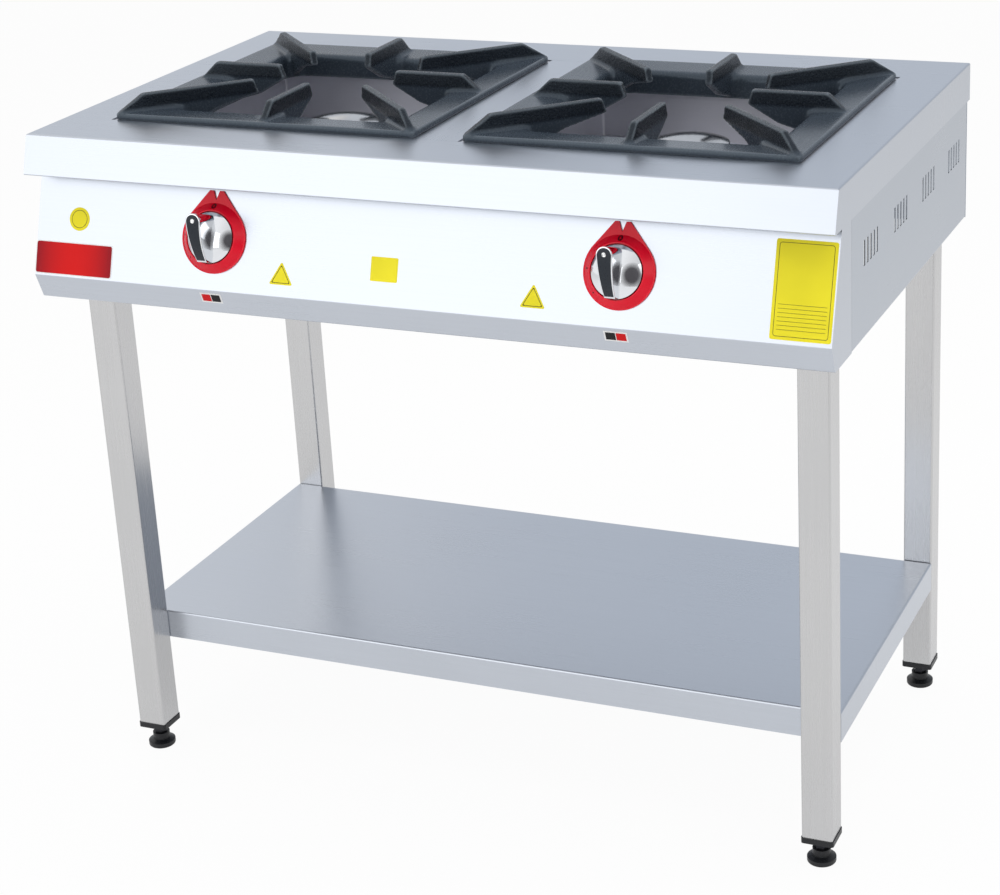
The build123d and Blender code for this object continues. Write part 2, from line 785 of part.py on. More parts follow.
def injector(side):
    """Brass jet screwed through the yoke, its hexagon towards the tap."""
    tip = injector_front + yoke_plate + injector_step
    hex_end = injector_front - injector_head
    head = Plane(origin=(0, injector_front, 0), z_dir=(0, -1, 0)) * hexagon(injector_hex)
    jet = extrude(head, injector_head)
    jet += rod(injector_r, (0, injector_front, 0), (0, tip, 0))
    nose = Plane(origin=(0, tip, 0), z_dir=(0, 1, 0)) * Pos(0, 0, injector_nose / 2)
    jet += nose * Cone(injector_r - injector_shoulder, injector_tip_r, injector_nose)
    jet -= rod(supply_r + thread_clearance, (0, hex_end - 1, 0), (0, hex_end + supply_socket, 0))
    return Pos(side * grate_x, 0, mix_z) * jet


def supply_tube(side):
    """Copper tube from a tap's outlet to its injector, with two easy bends."""
    start = tap_outlet_y - supply_socket
    end = injector_front - injector_head + supply_socket
    near = tap_outlet_y + supply_straight
    far = injector_front - injector_head - supply_straight
    path = FilletPolyline(
        (side * knob_x, start, mix_z), (side * knob_x, near, mix_z),
        (side * grate_x, far, mix_z), (side * grate_x, end, mix_z),
        radius=supply_bend,
    )
    section = Plane(origin=(side * knob_x, start, mix_z), z_dir=(0, 1, 0))
    return sweep(section * Circle(supply_r), path)


def manifold():
    """Gas pipe: along the front under both taps, then back to the inlet at the rear."""
    y = manifold_centre.Y
    z = manifold_centre.Z
    path = FilletPolyline(
        (manifold_left_x, y, z), (manifold_turn_x, y, z), (manifold_turn_x, body_back - inlet_socket, z),
        radius=manifold_bend,
    )
    section = Plane(origin=(manifold_left_x, y, z), z_dir=(1, 0, 0))
    pipe = sweep(section * (Circle(manifold_r) - Circle(manifold_bore_r)), path)
    return pipe + rod(manifold_cap_r, (manifold_left_x - manifold_cap, y, z), (manifold_left_x, y, z))


def gas_inlet():
    """Rear nipple with its lock nut against the back panel and a free male thread."""
    x = manifold_turn_x
    z = manifold_centre.Z
    inside = body_back - back_sheet
    start = body_back - inlet_socket
    nipple = rod(inlet_thread_r, (x, inside, z), (x, inlet_end, z))
    nipple += rod(manifold_cap_r, (x, start, z), (x, inside, z))
    nipple += rod(inlet_hole_r - inlet_hole_gap, (x, inside - 1, z), (x, body_back, z))
    nut = Plane(origin=(x, body_back, z), z_dir=(0, 1, 0)) * hexagon(inlet_nut)
    nipple += extrude(nut, inlet_nut_thickness)
    return nipple - rod(manifold_bore_r, (x, start - 1, z), (x, inlet_end + 1, z))


def gas_tap(side):
    """Brass tap: bonnet with its spring recess, body, and a saddle round the gas pipe."""
    x = side * knob_x
    frame = tap_frame(x)
    section = RectangleRounded(tap_body, tap_body, tap_body_corner)
    body = extrude(frame * Pos(0, 0, -bonnet_end) * section, -tap_body_length)
    body += extrude(frame * Pos(0, 0, -bonnet_end) * Circle(bonnet_r), bonnet_length)
    recess = frame * Pos(0, 0, -bonnet_back - bonnet_recess)
    body -= extrude(recess * Circle(bonnet_recess_r), bonnet_recess + 1)
    bore_depth = spindle_tail + tap_travel + 2
    bore = frame * Pos(0, 0, -bore_depth) * Circle(spindle_r + spindle_clearance)
    body -= extrude(bore, bore_depth)
    body += rod(tap_outlet_r, (x, tap_outlet_y - tap_body, mix_z), (x, tap_outlet_y, mix_z))
    socket_start = tap_outlet_y - supply_socket
    body -= rod(supply_r + thread_clearance, (x, socket_start, mix_z), (x, tap_outlet_y + 1, mix_z))
    centre = manifold_centre + Vector(x, 0, 0)
    reach = Vector(tap_body, 0, 0)
    return body - rod(manifold_r + thread_clearance, tuple(centre - reach), tuple(centre + reach))


def thrust_washer(side):
    frame = tap_frame(side * knob_x)
    ring = Circle(washer_r) - Circle(spindle_r + washer_clearance)
    return extrude(frame * Pos(0, 0, washer_back) * ring, washer_thickness)


def return_spring(side):
    """Coil between the bonnet's recess and the thrust washer: one helix, in quarter turns."""
    floor = -bonnet_back - bonnet_recess
    rise = washer_back - floor - 2 * spring_wire_r

    def coil(turn):
        angle = 2 * math.pi * turn
        return Vector(
            spring_r * math.cos(angle), spring_r * math.sin(angle), rise * turn / spring_turns
        )

    quarters = [
        ThreePointArc(coil(k / 4), coil((k + 0.5) / 4), coil((k + 1) / 4))
        for k in range(4 * spring_turns)
    ]
    section = Plane(origin=coil(0), z_dir=quarters[0] % 0) * RegularPolygon(spring_wire_r, 6)
    wire = sweep(section, Wire(quarters))
    frame = tap_frame(side * knob_x)
    return frame * Pos(0, 0, floor + spring_wire_r) * wire


def spindle(side):
    frame = tap_frame(side * knob_x)
    shaft = extrude(frame * Pos(0, 0, -spindle_tail) * Circle(spindle_r), spindle_tail + spindle_end)
    collar = frame * Pos(0, 0, -collar_back - collar_thickness) * Circle(spindle_collar_r)
    return shaft + extrude(collar, collar_thickness)


def capsule(y0, r0, y1, r1):
    """Outline round two circles of different size, on the Y axis."""
    gap = y0 - y1
    tilt = math.asin((r0 - r1) / gap)
    side_x = math.cos(tilt)
    side_y = -math.sin(tilt)
    a = (r0 * side_x, y0 - r0 * side_y)
    b = (r1 * side_x, y1 - r1 * side_y)
    outline = [
        ThreePointArc(a, (0, y0 + r0), (-a[0], a[1])),
        Line((-a[0], a[1]), (-b[0], b[1])),
        ThreePointArc((-b[0], b[1]), (0, y1 - r1), b),
        Line(b, a),
    ]
    return make_face(outline)


def knob_shell(side):
    """Chromed cap: a low dome with an upright tapered handle, hollow beneath."""
    low = rosette_floor + tap_travel + knob_gap
    edge = low + knob_skirt
    rise = dome_top - edge
    arch = (knob_r ** 2 + rise ** 2) / (2 * rise)

    def dome(radius, base, drop):
        peak = dome_top - drop
        ball = arch - drop
        mid = radius * 0.5
        mid_z = peak - ball + math.sqrt(ball ** 2 - mid ** 2)
        edge_z = peak - ball + math.sqrt(ball ** 2 - radius ** 2)
        outline = [
            Line((0, 0, base), (radius, 0, base)),
            Line((radius, 0, base), (radius, 0, edge_z)),
            ThreePointArc((radius, 0, edge_z), (mid, 0, mid_z), (0, 0, peak)),
            Line((0, 0, peak), (0, 0, base)),
        ]
        return revolve(make_face(outline), Axis.Z)

    shell = dome(knob_r, low, 0) - dome(knob_r - knob_wall, low - 1, knob_wall)
    shell += handle(edge)
    hub = low + (dome_top - low) / 2
    shell += extrude(Pos(0, 0, low) * Circle(knob_hub_r), hub - low)
    socket_end = spindle_end + spindle_clearance
    shell -= extrude(Pos(0, 0, low) * Circle(spindle_r + spindle_clearance), socket_end - low)
    shell -= crest_layer(inlay_clearance, inlay_depth, handle_end_r)
    return tap_frame(side * knob_x) * shell


def under_crest(lift, low, tail_in=0.0):
    """Everything under the handle's crest line, raised by lift, wide enough for any handle."""
    top, middle, tail = [(0, up, out + lift) for up, out in handle_crest]
    side_view = make_face([
        ThreePointArc(top, middle, tail),
        Line(tail, (0, tail[1], low)),
        Line((0, tail[1], low), (0, top[1], low)),
        Line((0, top[1], low), top),
    ])
    slab = extrude(side_view, knob_r, dir=(1, 0, 0), both=True)
    end = tail[1] + tail_in
    return slab - block(-2 * knob_r, 2 * knob_r, end - knob_r, end, 0, 2 * top[2])


def handle(low):
    """Upright blade that widens towards a crest, which curves down to the dome's lower edge."""
    top = handle_crest[0][1]
    tail = handle_crest[-1][0] - handle_overrun
    root = Pos(0, 0, low) * capsule(handle_root_end, handle_root_r, tail, handle_root_tail_r)
    crest = Pos(0, 0, top) * capsule(handle_end, handle_end_r, tail, handle_tail_r)
    blade = loft([root, crest]) & under_crest(0, low - 1)
    return fillet(blade.faces().sort_by(Axis.Z)[-1].edges(), handle_edge)


def crest_layer(growth, below, above):
    """Layer along the crest, inside the handle's border: from below the crest to above it."""
    top = handle_crest[0][1]
    tail = handle_crest[-1][0] - handle_overrun
    outline = capsule(
        handle_end, handle_end_r - inlay_border + growth,
        tail, handle_root_r - inlay_border + growth,
    )
    column = extrude(outline, 2 * top)
    floor = under_crest(-below, 0, inlay_tail - growth)
    return (column & under_crest(above, 0, inlay_tail - growth)) - floor


def knob_inlay(side):
    return tap_frame(side * knob_x) * crest_layer(0, inlay_depth, inlay_proud)


def rosette(side):
    """Drop-shaped plate with two prongs at the top and a conical ring round the knob."""
    reach = math.hypot(prong_half, prong_top)
    swing = math.acos(rosette_r / reach)
    base = math.atan2(prong_top, prong_half)
    touch = (rosette_r * math.cos(base - swing), rosette_r * math.sin(base - swing))
    drop = [
        ThreePointArc((-touch[0], touch[1]), (0, -rosette_r), touch),
        Polyline(
            touch, (prong_half, prong_top), (notch_half, prong_top), (0, notch_bottom),
            (-notch_half, prong_top), (-prong_half, prong_top), (-touch[0], touch[1]),
        ),
    ]
    plate = extrude(make_face(drop), rosette_floor)
    cone = spin([
        (rosette_mouth_r, 0), (rosette_ring_r, 0), (rosette_ring_r, rosette_floor),
        (rosette_mouth_r + rosette_mouth_wall, rosette_rise), (rosette_mouth_r, rosette_rise),
    ])
    plate += cone
    plate -= Cylinder(rosette_hole_r, 4 * rosette_floor)
    return tap_frame(side * knob_x) * plate


# ---------------------------------------------------------------- assembly
parts["top_plate"] = top_plate()
parts["top_divider"] = top_divider()
parts["front_panel"] = front_panel()
parts["back_panel"] = back_panel()
parts["back_panel_screws"] = back_panel_screws()
parts["rail_front"] = rail(True, leg_front_y)
parts["rail_back"] = rail(True, leg_back_y)
parts["shelf"] = shelf()
parts["shelf_stiffener"] = shelf_stiffener()
parts["shelf_bolts"] = shelf_bolts()
parts["burner_screws"] = burner_screws()
parts["gas_manifold"] = manifold()
parts["gas_inlet"] = gas_inlet()
for name, (x, y) in leg_places.items():
    parts["leg_" + name] = leg(x, y)
    parts["foot_stem_" + name] = foot_stem(x, y)
    parts["foot_pad_" + name] = foot_pad(x, y)
parts["leg_plugs"] = [leg_plug(x, y) for x, y in leg_places.values()]
for name, side in sides.items():
    parts["side_panel_" + name] = side_panel(side)
    parts["rail_" + name] = rail(False, side * leg_x)
    parts["grate_" + name] = grate(side)
    parts["drip_pan_" + name] = drip_pan(side)
    parts["burner_body_" + name] = burner_body(side)
    parts["burner_cap_" + name] = burner_cap(side)
    parts["mixing_tube_" + name] = mixing_tube(side)
    parts["injector_" + name] = injector(side)
    parts["supply_tube_" + name] = supply_tube(side)
    parts["gas_tap_" + name] = gas_tap(side)
    parts["thrust_washer_" + name] = thrust_washer(side)
    parts["return_spring_" + name] = return_spring(side)
    parts["spindle_" + name] = spindle(side)
    parts["knob_" + name] = knob_shell(side)
    parts["knob_inlay_" + name] = knob_inlay(side)
    parts["rosette_" + name] = rosette(side)


def solids_of(shape):
    """Every solid in a part, whether it is one shape or a group."""
    shapes = shape if isinstance(shape, list) else [shape]
    return [solid for one in shapes for solid in one.solids()]


everything = Compound(children=[Compound(solids_of(shape)) for shape in parts.values()])
whole_box = everything.bounding_box()
centre_shift = -(whole_box.min.Y + whole_box.max.Y) / 2

os.makedirs("parts", exist_ok=True)
for name, shape in parts.items():
    moved = [Pos(0, centre_shift, 0) * solid for solid in solids_of(shape)]
    whole = moved[0] if len(moved) == 1 else Compound(moved)
    export_step(whole, f"parts/{name}.step")
print(len(parts), "nodes; moved along Y by", round(centre_shift, 3))
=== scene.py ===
import bmesh
import bpy
import json
import math
from mathutils import Matrix, Vector


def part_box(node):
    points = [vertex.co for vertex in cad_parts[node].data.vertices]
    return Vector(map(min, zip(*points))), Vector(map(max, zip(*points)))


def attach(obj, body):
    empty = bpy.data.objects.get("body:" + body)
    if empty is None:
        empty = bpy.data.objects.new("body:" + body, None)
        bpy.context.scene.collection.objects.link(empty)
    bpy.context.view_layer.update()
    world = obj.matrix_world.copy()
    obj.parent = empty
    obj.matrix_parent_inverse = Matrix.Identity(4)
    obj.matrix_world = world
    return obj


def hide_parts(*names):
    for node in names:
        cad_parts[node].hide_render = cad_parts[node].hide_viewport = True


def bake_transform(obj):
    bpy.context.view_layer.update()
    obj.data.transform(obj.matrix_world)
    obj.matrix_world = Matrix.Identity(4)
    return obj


# A two-burner stock pot range in a plain pale studio. Metres, in the CAD's frame: X to the
# user's right, -Y out of the front, Z up from the floor.

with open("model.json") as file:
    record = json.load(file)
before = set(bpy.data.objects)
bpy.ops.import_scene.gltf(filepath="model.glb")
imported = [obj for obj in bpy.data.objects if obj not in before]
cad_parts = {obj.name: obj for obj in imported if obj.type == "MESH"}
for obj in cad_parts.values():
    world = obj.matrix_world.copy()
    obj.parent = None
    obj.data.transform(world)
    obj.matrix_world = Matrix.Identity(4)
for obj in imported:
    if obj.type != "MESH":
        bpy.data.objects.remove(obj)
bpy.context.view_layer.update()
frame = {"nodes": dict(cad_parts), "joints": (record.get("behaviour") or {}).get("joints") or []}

SIDES = ("left", "right")
CORNERS = ("front_left", "front_right", "back_left", "back_right")
MERGE_DISTANCE = 1e-6                        # points closer than this are one point

# ------------------------ sizes: control panel
TAP = {joint["name"].split("_")[-1]: Vector(joint["pos_m"])
       for joint in frame["joints"] if joint["name"].startswith("knob_turn")}
PANEL_LEAN = math.radians(18.4)
PANEL_OUT = Vector((0, -math.cos(PANEL_LEAN), math.sin(PANEL_LEAN)))
PANEL_UP = Vector((0, math.sin(PANEL_LEAN), math.cos(PANEL_LEAN)))
PANEL_LINE_UP = 0.0518                       # the band's shadow line, up the panel from the taps
NOSE_DOWN = 0.062                            # the panel's foremost fold, down from the taps
LIP_RUN = Vector((0, 0.012, -0.031))         # from the nose to the lip's lower edge
LIP_DOWN = LIP_RUN.normalized()
LIP_OUT = Vector((0, LIP_DOWN.z, -LIP_DOWN.y))

# Films on the panel. A box is (left, right, top, foot): x, and the way down the panel's slope
# from the line under the band.
FILM = 0.0002                                # thickness of a film
BORDER_STAND = 0.4                           # a printed border's thickness, as a share of a film's
PLATE_MIDDLE = -0.444                        # name plate's middle and half its width
PLATE_HALF = 0.0525
PLATE_EDGE = (-0.4980, -0.3905, 0.0715, 0.1115)
PLATE_FACE = (-0.4968, -0.3917, 0.0727, 0.1103)
PLATE_CORNERS = (0.0035, 0.0026)             # of its edge and of its face
ROUND_CENTRE = (-0.4396, 0.043)
ROUND_REACH = 0.0152                         # an octagon to its corners, before they are rounded
ROUND_CORNER = 0.0135
ROUND_RING = (0.0108, 0.0102)                # outer and inner radius
TRIANGLE_MIDDLES = (-0.162, 0.154)
TRIANGLE_TOP, TRIANGLE_MIDDLE, TRIANGLE_FOOT = 0.0725, 0.0905, 0.0995
TRIANGLE_HALF = 0.0155
TRIANGLE_BORDER = (0.80, 0.72)               # outer and inner edge, as shares of the triangle
TRIANGLE_BORDER_CORNER = 0.0010
SQUARE_BOX = (-0.0475, -0.0135, 0.0575, 0.0855)
SMALL_CORNER = 0.0015                        # of the triangles and the square
TALL_BOX = (0.428, 0.496, 0.002, 0.109)
TALL_CORNER = 0.0025
TALL_BORDER = (0.4315, 0.4925, 0.0055, 0.1055)
TALL_BORDER_CORNER = 0.003
TALL_BORDER_LINE = 0.0006
RULE_COUNT, RULE_TOP, RULE_STEP, RULE_LINE = 7, 0.071, 0.0045, 0.00035
RULE_ENDS = (0.4350, 0.4890)
RULE_CORNER = 0.0001
BURNER_MARK_MIDDLES = (-0.256, 0.2525)
MARK_HALF, MARK_TOP, MARK_FOOT = 0.0140, 0.004, 0.018   # white ground, down the lip from the nose
MARK_EDGE = 0.002                            # white left round the two fields
MARK_GAP = 0.0005                            # half of the white between them
MARK_CORNER = 0.0005

ROSETTE_FLOOR = 0.002
ROSETTE_RISE = 0.010
ROSETTE_RING_R = 0.0405
ROSETTE_MOUTH_R = 0.0322
ZERO_SIZE, ZERO_DEPTH = 0.0110, 0.0005
FLAME_DEPTH = 0.0002                         # each way from the cone
FLAME_MARKS = ((0.0042, 88.0), (0.0032, 133.0))   # (size, degrees anticlockwise from the top)
DOT_UP = 0.0175                              # handle's dot, from the tap's axis
DOT_OUT = 0.0515
DOT_TILT = math.radians(14.0)
DOT_PROFILE = ((0.0026, -0.0002), (0.0025, 0.0003), (0.0022, 0.0004), (0.0017, 0.0002), (0.0013, 0.0004))

# ------------------------ sizes: threads and fasteners
OVERLAP = 0.001                              # how far one form runs on inside another
STEM_R = 0.00495
STEM_RIDGE = 0.00045
STEM_HEX_HEIGHT = 0.006
THREAD_PITCH = 0.0015
INLET_R = 0.01028
INLET_RIDGE = 0.0006
INLET_THREAD = 0.0135
# Screws of each CAD node: width across the flats, height of the head, radius of the shank.
BACK_SCREW = (0.008, 0.0026, 0.0024)
BURNER_SCREW = (0.008, 0.003, 0.0025)
SHELF_BOLT = (0.010, 0.004, 0.003)
# A screw from washer to shank: sides; what its radii scale with, and the radii below and above;
# what its height scales with, its start and its height.
SCREW_PARTS = (
    (24, "Across", 0.78, 0.78, "Head", 0.0, 0.22),
    (24, "Across", 0.78, 0.70, "Head", 0.22, 0.08),
    (6, "Across", 0.577, 0.577, "Head", 0.0, 0.78),
    (6, "Across", 0.577, 0.47, "Head", 0.78, 0.22),
    (24, "Shank", 0.8, 1.0, "Reach", -1.0, 0.12),
    (24, "Shank", 1.0, 1.0, "Reach", -0.88, 0.88),
)

# ------------------------ sizes: grates
GRATE_HALF = 0.201
GRATE_CORNER = 0.006
RIM_TOP = 0.857
RIM_WIDTH = 0.004
RIM_EDGE = 0.001                             # slope that breaks the rim's edge
DISH_DROP = 0.0025
FLANGE_THICKNESS = 0.0095
FLANGE_UNDER = 0.8485
LOCATOR_HALF = 0.181
WELL_HALF = 0.152
WELL_TAPER = 0.002
WELL_CORNER = 0.026
SKIRT_BOTTOM = 0.825
SKIRT_WALL = 0.005
ROLL_RADIUS = 0.008
ROLL_STEPS = 8
FIN_TOP = 0.8775
FIN_THICKNESS = 0.009
FIN_NOSE = 0.0175
CORNER_FIN = dict(tip=0.0043, crest_out=0.0363, crest_in=0.110, nose=0.104, heel=0.158, knee=0.0295)
MIDDLE_FIN = dict(tip=0.005, crest_out=0.028, crest_in=0.082, nose=0.076, heel=0.113, knee=0.0385)
ROOT_STEPS = ((0.0012, 0.0038), (0.0025, 0.0020), (0.0042, 0.0009))  # (spread, lift) of the feet
CAST_VOXEL = 0.0019

# ------------------------ patterns and studio
FINE_LINES = dict(across=0.0006, length=0.05, detail=3)
RUB_MARKS = dict(across=0.003, length=0.35, detail=2)

FLOOR_REACH = 30.0
FLOOR_GLOW = 0.95                            # how white the floor is to the camera
FLOOR_SHEEN = 0.60                           # how white it is in reflections
ROOM_LIGHT = 0.50
BACK_WALL = (0.69, 0.73, 0.79)               # the room behind the range, as metal mirrors it
DARK_SIDE = 0.62                             # the same at its right
# Each lamp: place, the point it faces, width, height, watts, and whether metal mirrors it.
LAMPS = {
    "front_light": ((-1.35, -3.3, 1.5), (0, 0, 0.75), 3.6, 2.6, 24.0, True),
    "top_light": ((0.2, 0.1, 2.7), (0, 0, 0.8), 3.2, 3.2, 48.0, False),
    "fill_light": ((2.6, -1.2, 1.6), (0, 0, 0.6), 1.6, 1.6, 9.0, True),
}
# The dark card: place, the point it faces, width and height.
DARK_FLAG = ((1.26, -2.20, 1.18), (0.0, -0.33, 1.18), 3.0, 3.4)
# The camera: degrees round from the front, up and rolled, then its place, and its lens in mm.
CAMERA_ROUND, CAMERA_UP, CAMERA_ROLL = 23.053, 20.24, -2.592
CAMERA_PLACE = Vector((1.14583, TAP["left"].y - 2.21843, 1.51305))
CAMERA_LENS, CAMERA_SENSOR = 83.30, 36.0
CAMERA_SHIFT = -0.08                         # each way, as a share of the frame


# ------------------------ material helpers
def new_material(name):
    """An empty node material, with its tree and its shader."""
    material = bpy.data.materials.new(name)
    material.use_nodes = True
    return material, material.node_tree, material.node_tree.nodes["Principled BSDF"]


def node(tree, kind, **values):
    """Adds a node. A value named after a socket goes to that socket, any other to a property.

    A socket takes a number, a colour or another node's output."""
    made = tree.nodes.new(kind)
    for key, value in values.items():
        socket = key.replace("_", " ")
        if socket not in made.inputs:
            setattr(made, key, value)
        elif isinstance(value, bpy.types.NodeSocket):
            tree.links.new(value, made.inputs[socket])
        else:
            made.inputs[socket].default_value = value
    return made


def math_node(tree, operation, first, second=None, third=None):
    """One sum; each term is a number or another node's output."""
    made = node(tree, "ShaderNodeMath", operation=operation)
    for socket, term in zip(made.inputs, (first, second, third)):
        if isinstance(term, (int, float)):
            socket.default_value = term
        elif term is not None:
            tree.links.new(term, socket)
    return made.outputs[0]


def colour_node(tree, operation, first, second):
    """The same sum on each part of two colours."""
    made = node(tree, "ShaderNodeVectorMath", operation=operation)
    tree.links.new(first, made.inputs[0])
    tree.links.new(second, made.inputs[1])
    return made.outputs[0]


def axis_parts(tree, vector):
    """The X, Y and Z of a vector, by name."""
    return node(tree, "ShaderNodeSeparateXYZ", Vector=vector).outputs


def weighted(tree, first, share, second):
    """Two patterns as one: this share of the first and the rest of the second."""
    first = math_node(tree, "MULTIPLY", first, share)
    return math_node(tree, "ADD", first, math_node(tree, "MULTIPLY", second, 1 - share))


def ramp(tree, factor, *stops):
    """A colour ramp from (position, colour) stops; a colour may be one grey number."""
    made = node(tree, "ShaderNodeValToRGB")
    elements = made.color_ramp.elements
    while len(elements) < len(stops):
        elements.new(0.5)
    for element, (position, colour) in zip(elements, stops):
        element.position = position
        if isinstance(colour, (int, float)):
            colour = (colour, colour, colour)
        element.color = (*colour, 1)
    tree.links.new(factor, made.inputs[0])
    return made.outputs[0]


def paint(tree, shader, socket, pattern, *stops):
    """Spreads a pattern over one of the shader's sockets."""
    tree.links.new(ramp(tree, pattern, *stops), shader.inputs[socket])


def object_coords(tree):
    return node(tree, "ShaderNodeTexCoord").outputs["Object"]


def noise(tree, scale, detail=2.0, rough=0.5, coords=None):
    made = node(
        tree, "ShaderNodeTexNoise", Scale=scale, Detail=detail, Roughness=rough,
        Vector=coords or object_coords(tree),
    )
    return made.outputs["Fac"]


def stretched_noise(tree, along, across, length, detail):
    """Noise drawn out into lines along one axis; across and length are in metres."""
    scale = [1 / across] * 3
    scale["xyz".index(along)] = 1 / length
    mapping = node(tree, "ShaderNodeMapping", Scale=scale, Vector=object_coords(tree))
    return noise(tree, 1.0, detail, coords=mapping.outputs["Vector"])


def bump(tree, shader, height, distance):
    made = node(tree, "ShaderNodeBump", Strength=1.0, Distance=distance, Height=height)
    tree.links.new(made.outputs["Normal"], shader.inputs["Normal"])


def side_mask(tree):
    """1 on faces that look along X, where a folded sheet's brushing runs down the fold."""
    normal = node(tree, "ShaderNodeTexCoord").outputs["Normal"]
    sideways = math_node(tree, "ABSOLUTE", axis_parts(tree, normal)["X"])
    return math_node(tree, "GREATER_THAN", sideways, 0.7)


def between(tree, mask, low, high, kind="FLOAT"):
    """low where the mask is 0, high where it is 1. kind is FLOAT or RGBA."""
    made = node(tree, "ShaderNodeMix", data_type=kind)
    first, result = {"FLOAT": (2, 0), "RGBA": (6, 2)}[kind]
    for place, term in zip((0, first, first + 1), (mask, low, high)):
        if isinstance(term, tuple):
            made.inputs[place].default_value = term
        else:
            tree.links.new(term, made.inputs[place])
    return made.outputs[result]


def mottled(tree, shader, colour_pattern, tint, dark_share, skin_pattern, rough):
    """Slight drift in the colour, down to a share of it, and in the roughness round its middle."""
    dark = tuple(dark_share * part for part in tint)
    paint(tree, shader, "Base Color", colour_pattern, (0.3, dark), (0.7, tint))
    paint(tree, shader, "Roughness", skin_pattern, (0.3, rough * 0.85), (0.7, rough * 1.15))


# ------------------------ materials
def brushed_steel(name, along, folded=None, tint=(0.575, 0.61, 0.67), rough=(0.25, 0.34)):
    """Satin stainless: fine lines along the sheet, slow clouds, and a few longer rub marks."""
    material, tree, shader = new_material(name)
    fine = stretched_noise(tree, along, **FINE_LINES)
    broad = stretched_noise(tree, along, **RUB_MARKS)
    if folded:
        mask = side_mask(tree)
        fine = between(tree, mask, fine, stretched_noise(tree, folded, **FINE_LINES))
        broad = between(tree, mask, broad, stretched_noise(tree, folded, **RUB_MARKS))
    cloud = noise(tree, 5.0, 3.0, 0.55)
    lines = weighted(tree, fine, 0.5, broad)
    mixed = weighted(tree, lines, 0.55, cloud)
    shade = tuple(0.94 * part for part in tint)
    paint(tree, shader, "Base Color", mixed, (0.35, shade), (0.65, tint))
    paint(tree, shader, "Roughness", mixed, (0.3, rough[0]), (0.7, rough[1]))
    shader.inputs["Metallic"].default_value = 1.0
    bump(tree, shader, lines, 0.00003)
    return material


def plain_metal(name, tint, rough, wear=0.12, scale=60.0, depth=0.00004):
    """Turned, cast or plated metal with slight mottling."""
    material, tree, shader = new_material(name)
    spots = noise(tree, scale, 4.0, 0.6)
    mottled(tree, shader, spots, tint, 1 - wear, spots, rough)
    shader.inputs["Metallic"].default_value = 1.0
    bump(tree, shader, spots, depth)
    return material


def cast_iron():
    """Enamelled cast iron: glossy blue-black, rough as cast on the fins, with a painted highlight along the
    edges and a painted sheen that makes the flange and skirt lighter.
    """
    material, tree, shader = new_material("cast_iron_black")
    grain = noise(tree, 420.0, 4.0, 0.7)
    fine = noise(tree, 1500.0, 2.0, 0.5)
    blotch = noise(tree, 18.0, 3.0, 0.5)
    on_fins = node(
        tree, "ShaderNodeMapRange", interpolation_type="SMOOTHSTEP",
        Value=axis_parts(tree, object_coords(tree))["Z"], From_Min=RIM_TOP, From_Max=RIM_TOP + 0.006,
    ).outputs[0]
    pointiness = node(tree, "ShaderNodeNewGeometry").outputs["Pointiness"]
    edge = ramp(tree, pointiness, (0.515, 0.0), (0.56, 1.0))
    # Below the rim, the flange and skirt get a lighter blue-grey than the fins: a painted sheen for their
    # flatter faces catching the light.
    fins = ramp(tree, blotch, (0.3, (0.002, 0.0035, 0.0070)), (0.7, (0.006, 0.009, 0.015)))
    flange = ramp(tree, blotch, (0.3, (0.030, 0.040, 0.054)), (0.7, (0.042, 0.054, 0.070)))
    skin = between(tree, on_fins, flange, fins, "RGBA")
    # Painted highlight: pointy edges are mixed toward a pale blue-grey.
    painted_edge_highlight = between(tree, math_node(tree, "MULTIPLY", edge, 0.6), skin, (0.17, 0.20, 0.23, 1), "RGBA")
    tree.links.new(painted_edge_highlight, shader.inputs["Base Color"])
    paint(tree, shader, "Roughness", grain, (0.3, 0.16), (0.7, 0.34))
    shader.inputs["Specular IOR Level"].default_value = 0.42
    shader.inputs["Specular Tint"].default_value = (0.74, 0.88, 1.0, 1)
    rough = math_node(tree, "MULTIPLY", grain, on_fins)
    bump(tree, shader, math_node(tree, "MULTIPLY_ADD", fine, 0.03, rough), 0.0010)
    return material


def burner_iron():
    """Bare cast iron of the burner's body, dull and a little brown."""
    material, tree, shader = new_material("burner_cast_iron")
    grain = noise(tree, 500.0, 5.0, 0.65)
    blotch = noise(tree, 30.0, 3.0, 0.5)
    paint(tree, shader, "Base Color", blotch, (0.3, (0.10, 0.095, 0.09)), (0.7, (0.17, 0.16, 0.15)))
    paint(tree, shader, "Roughness", grain, (0.3, 0.42), (0.7, 0.62))
    shader.inputs["Metallic"].default_value = 0.8
    bump(tree, shader, grain, 0.0002)
    return material


def moulded(name, tint, rough=0.4, scale=700.0, depth=0.00003, specular=0.5):
    """Moulded plastic or print with a fine skin and slight colour drift."""
    material, tree, shader = new_material(name)
    skin = noise(tree, scale, 3.0, 0.5)
    drift = noise(tree, 12.0, 2.0, 0.5)
    mottled(tree, shader, drift, tint, 0.86, skin, rough)
    shader.inputs["Specular IOR Level"].default_value = specular
    bump(tree, shader, skin, depth)
    return material


def printed_plate():
    """Red print, darker towards the plate's two ends."""
    material, tree, shader = new_material("film_plate_red")
    across = axis_parts(tree, object_coords(tree))["X"]
    grain = noise(tree, 900.0, 2.0, 0.5)
    off_middle = math_node(tree, "ABSOLUTE", math_node(tree, "SUBTRACT", across, PLATE_MIDDLE))
    ends = math_node(tree, "MULTIPLY", off_middle, 1 / PLATE_HALF)
    speckled = math_node(tree, "MULTIPLY_ADD", grain, 0.12, math_node(tree, "MULTIPLY", ends, ends))
    paint(tree, shader, "Base Color", speckled, (0.05, (0.74, 0.006, 0.006)), (1.0, (0.33, 0.004, 0.012)))
    paint(tree, shader, "Roughness", grain, (0.3, 0.30), (0.7, 0.40))
    shader.inputs["Specular IOR Level"].default_value = 0.15
    return material


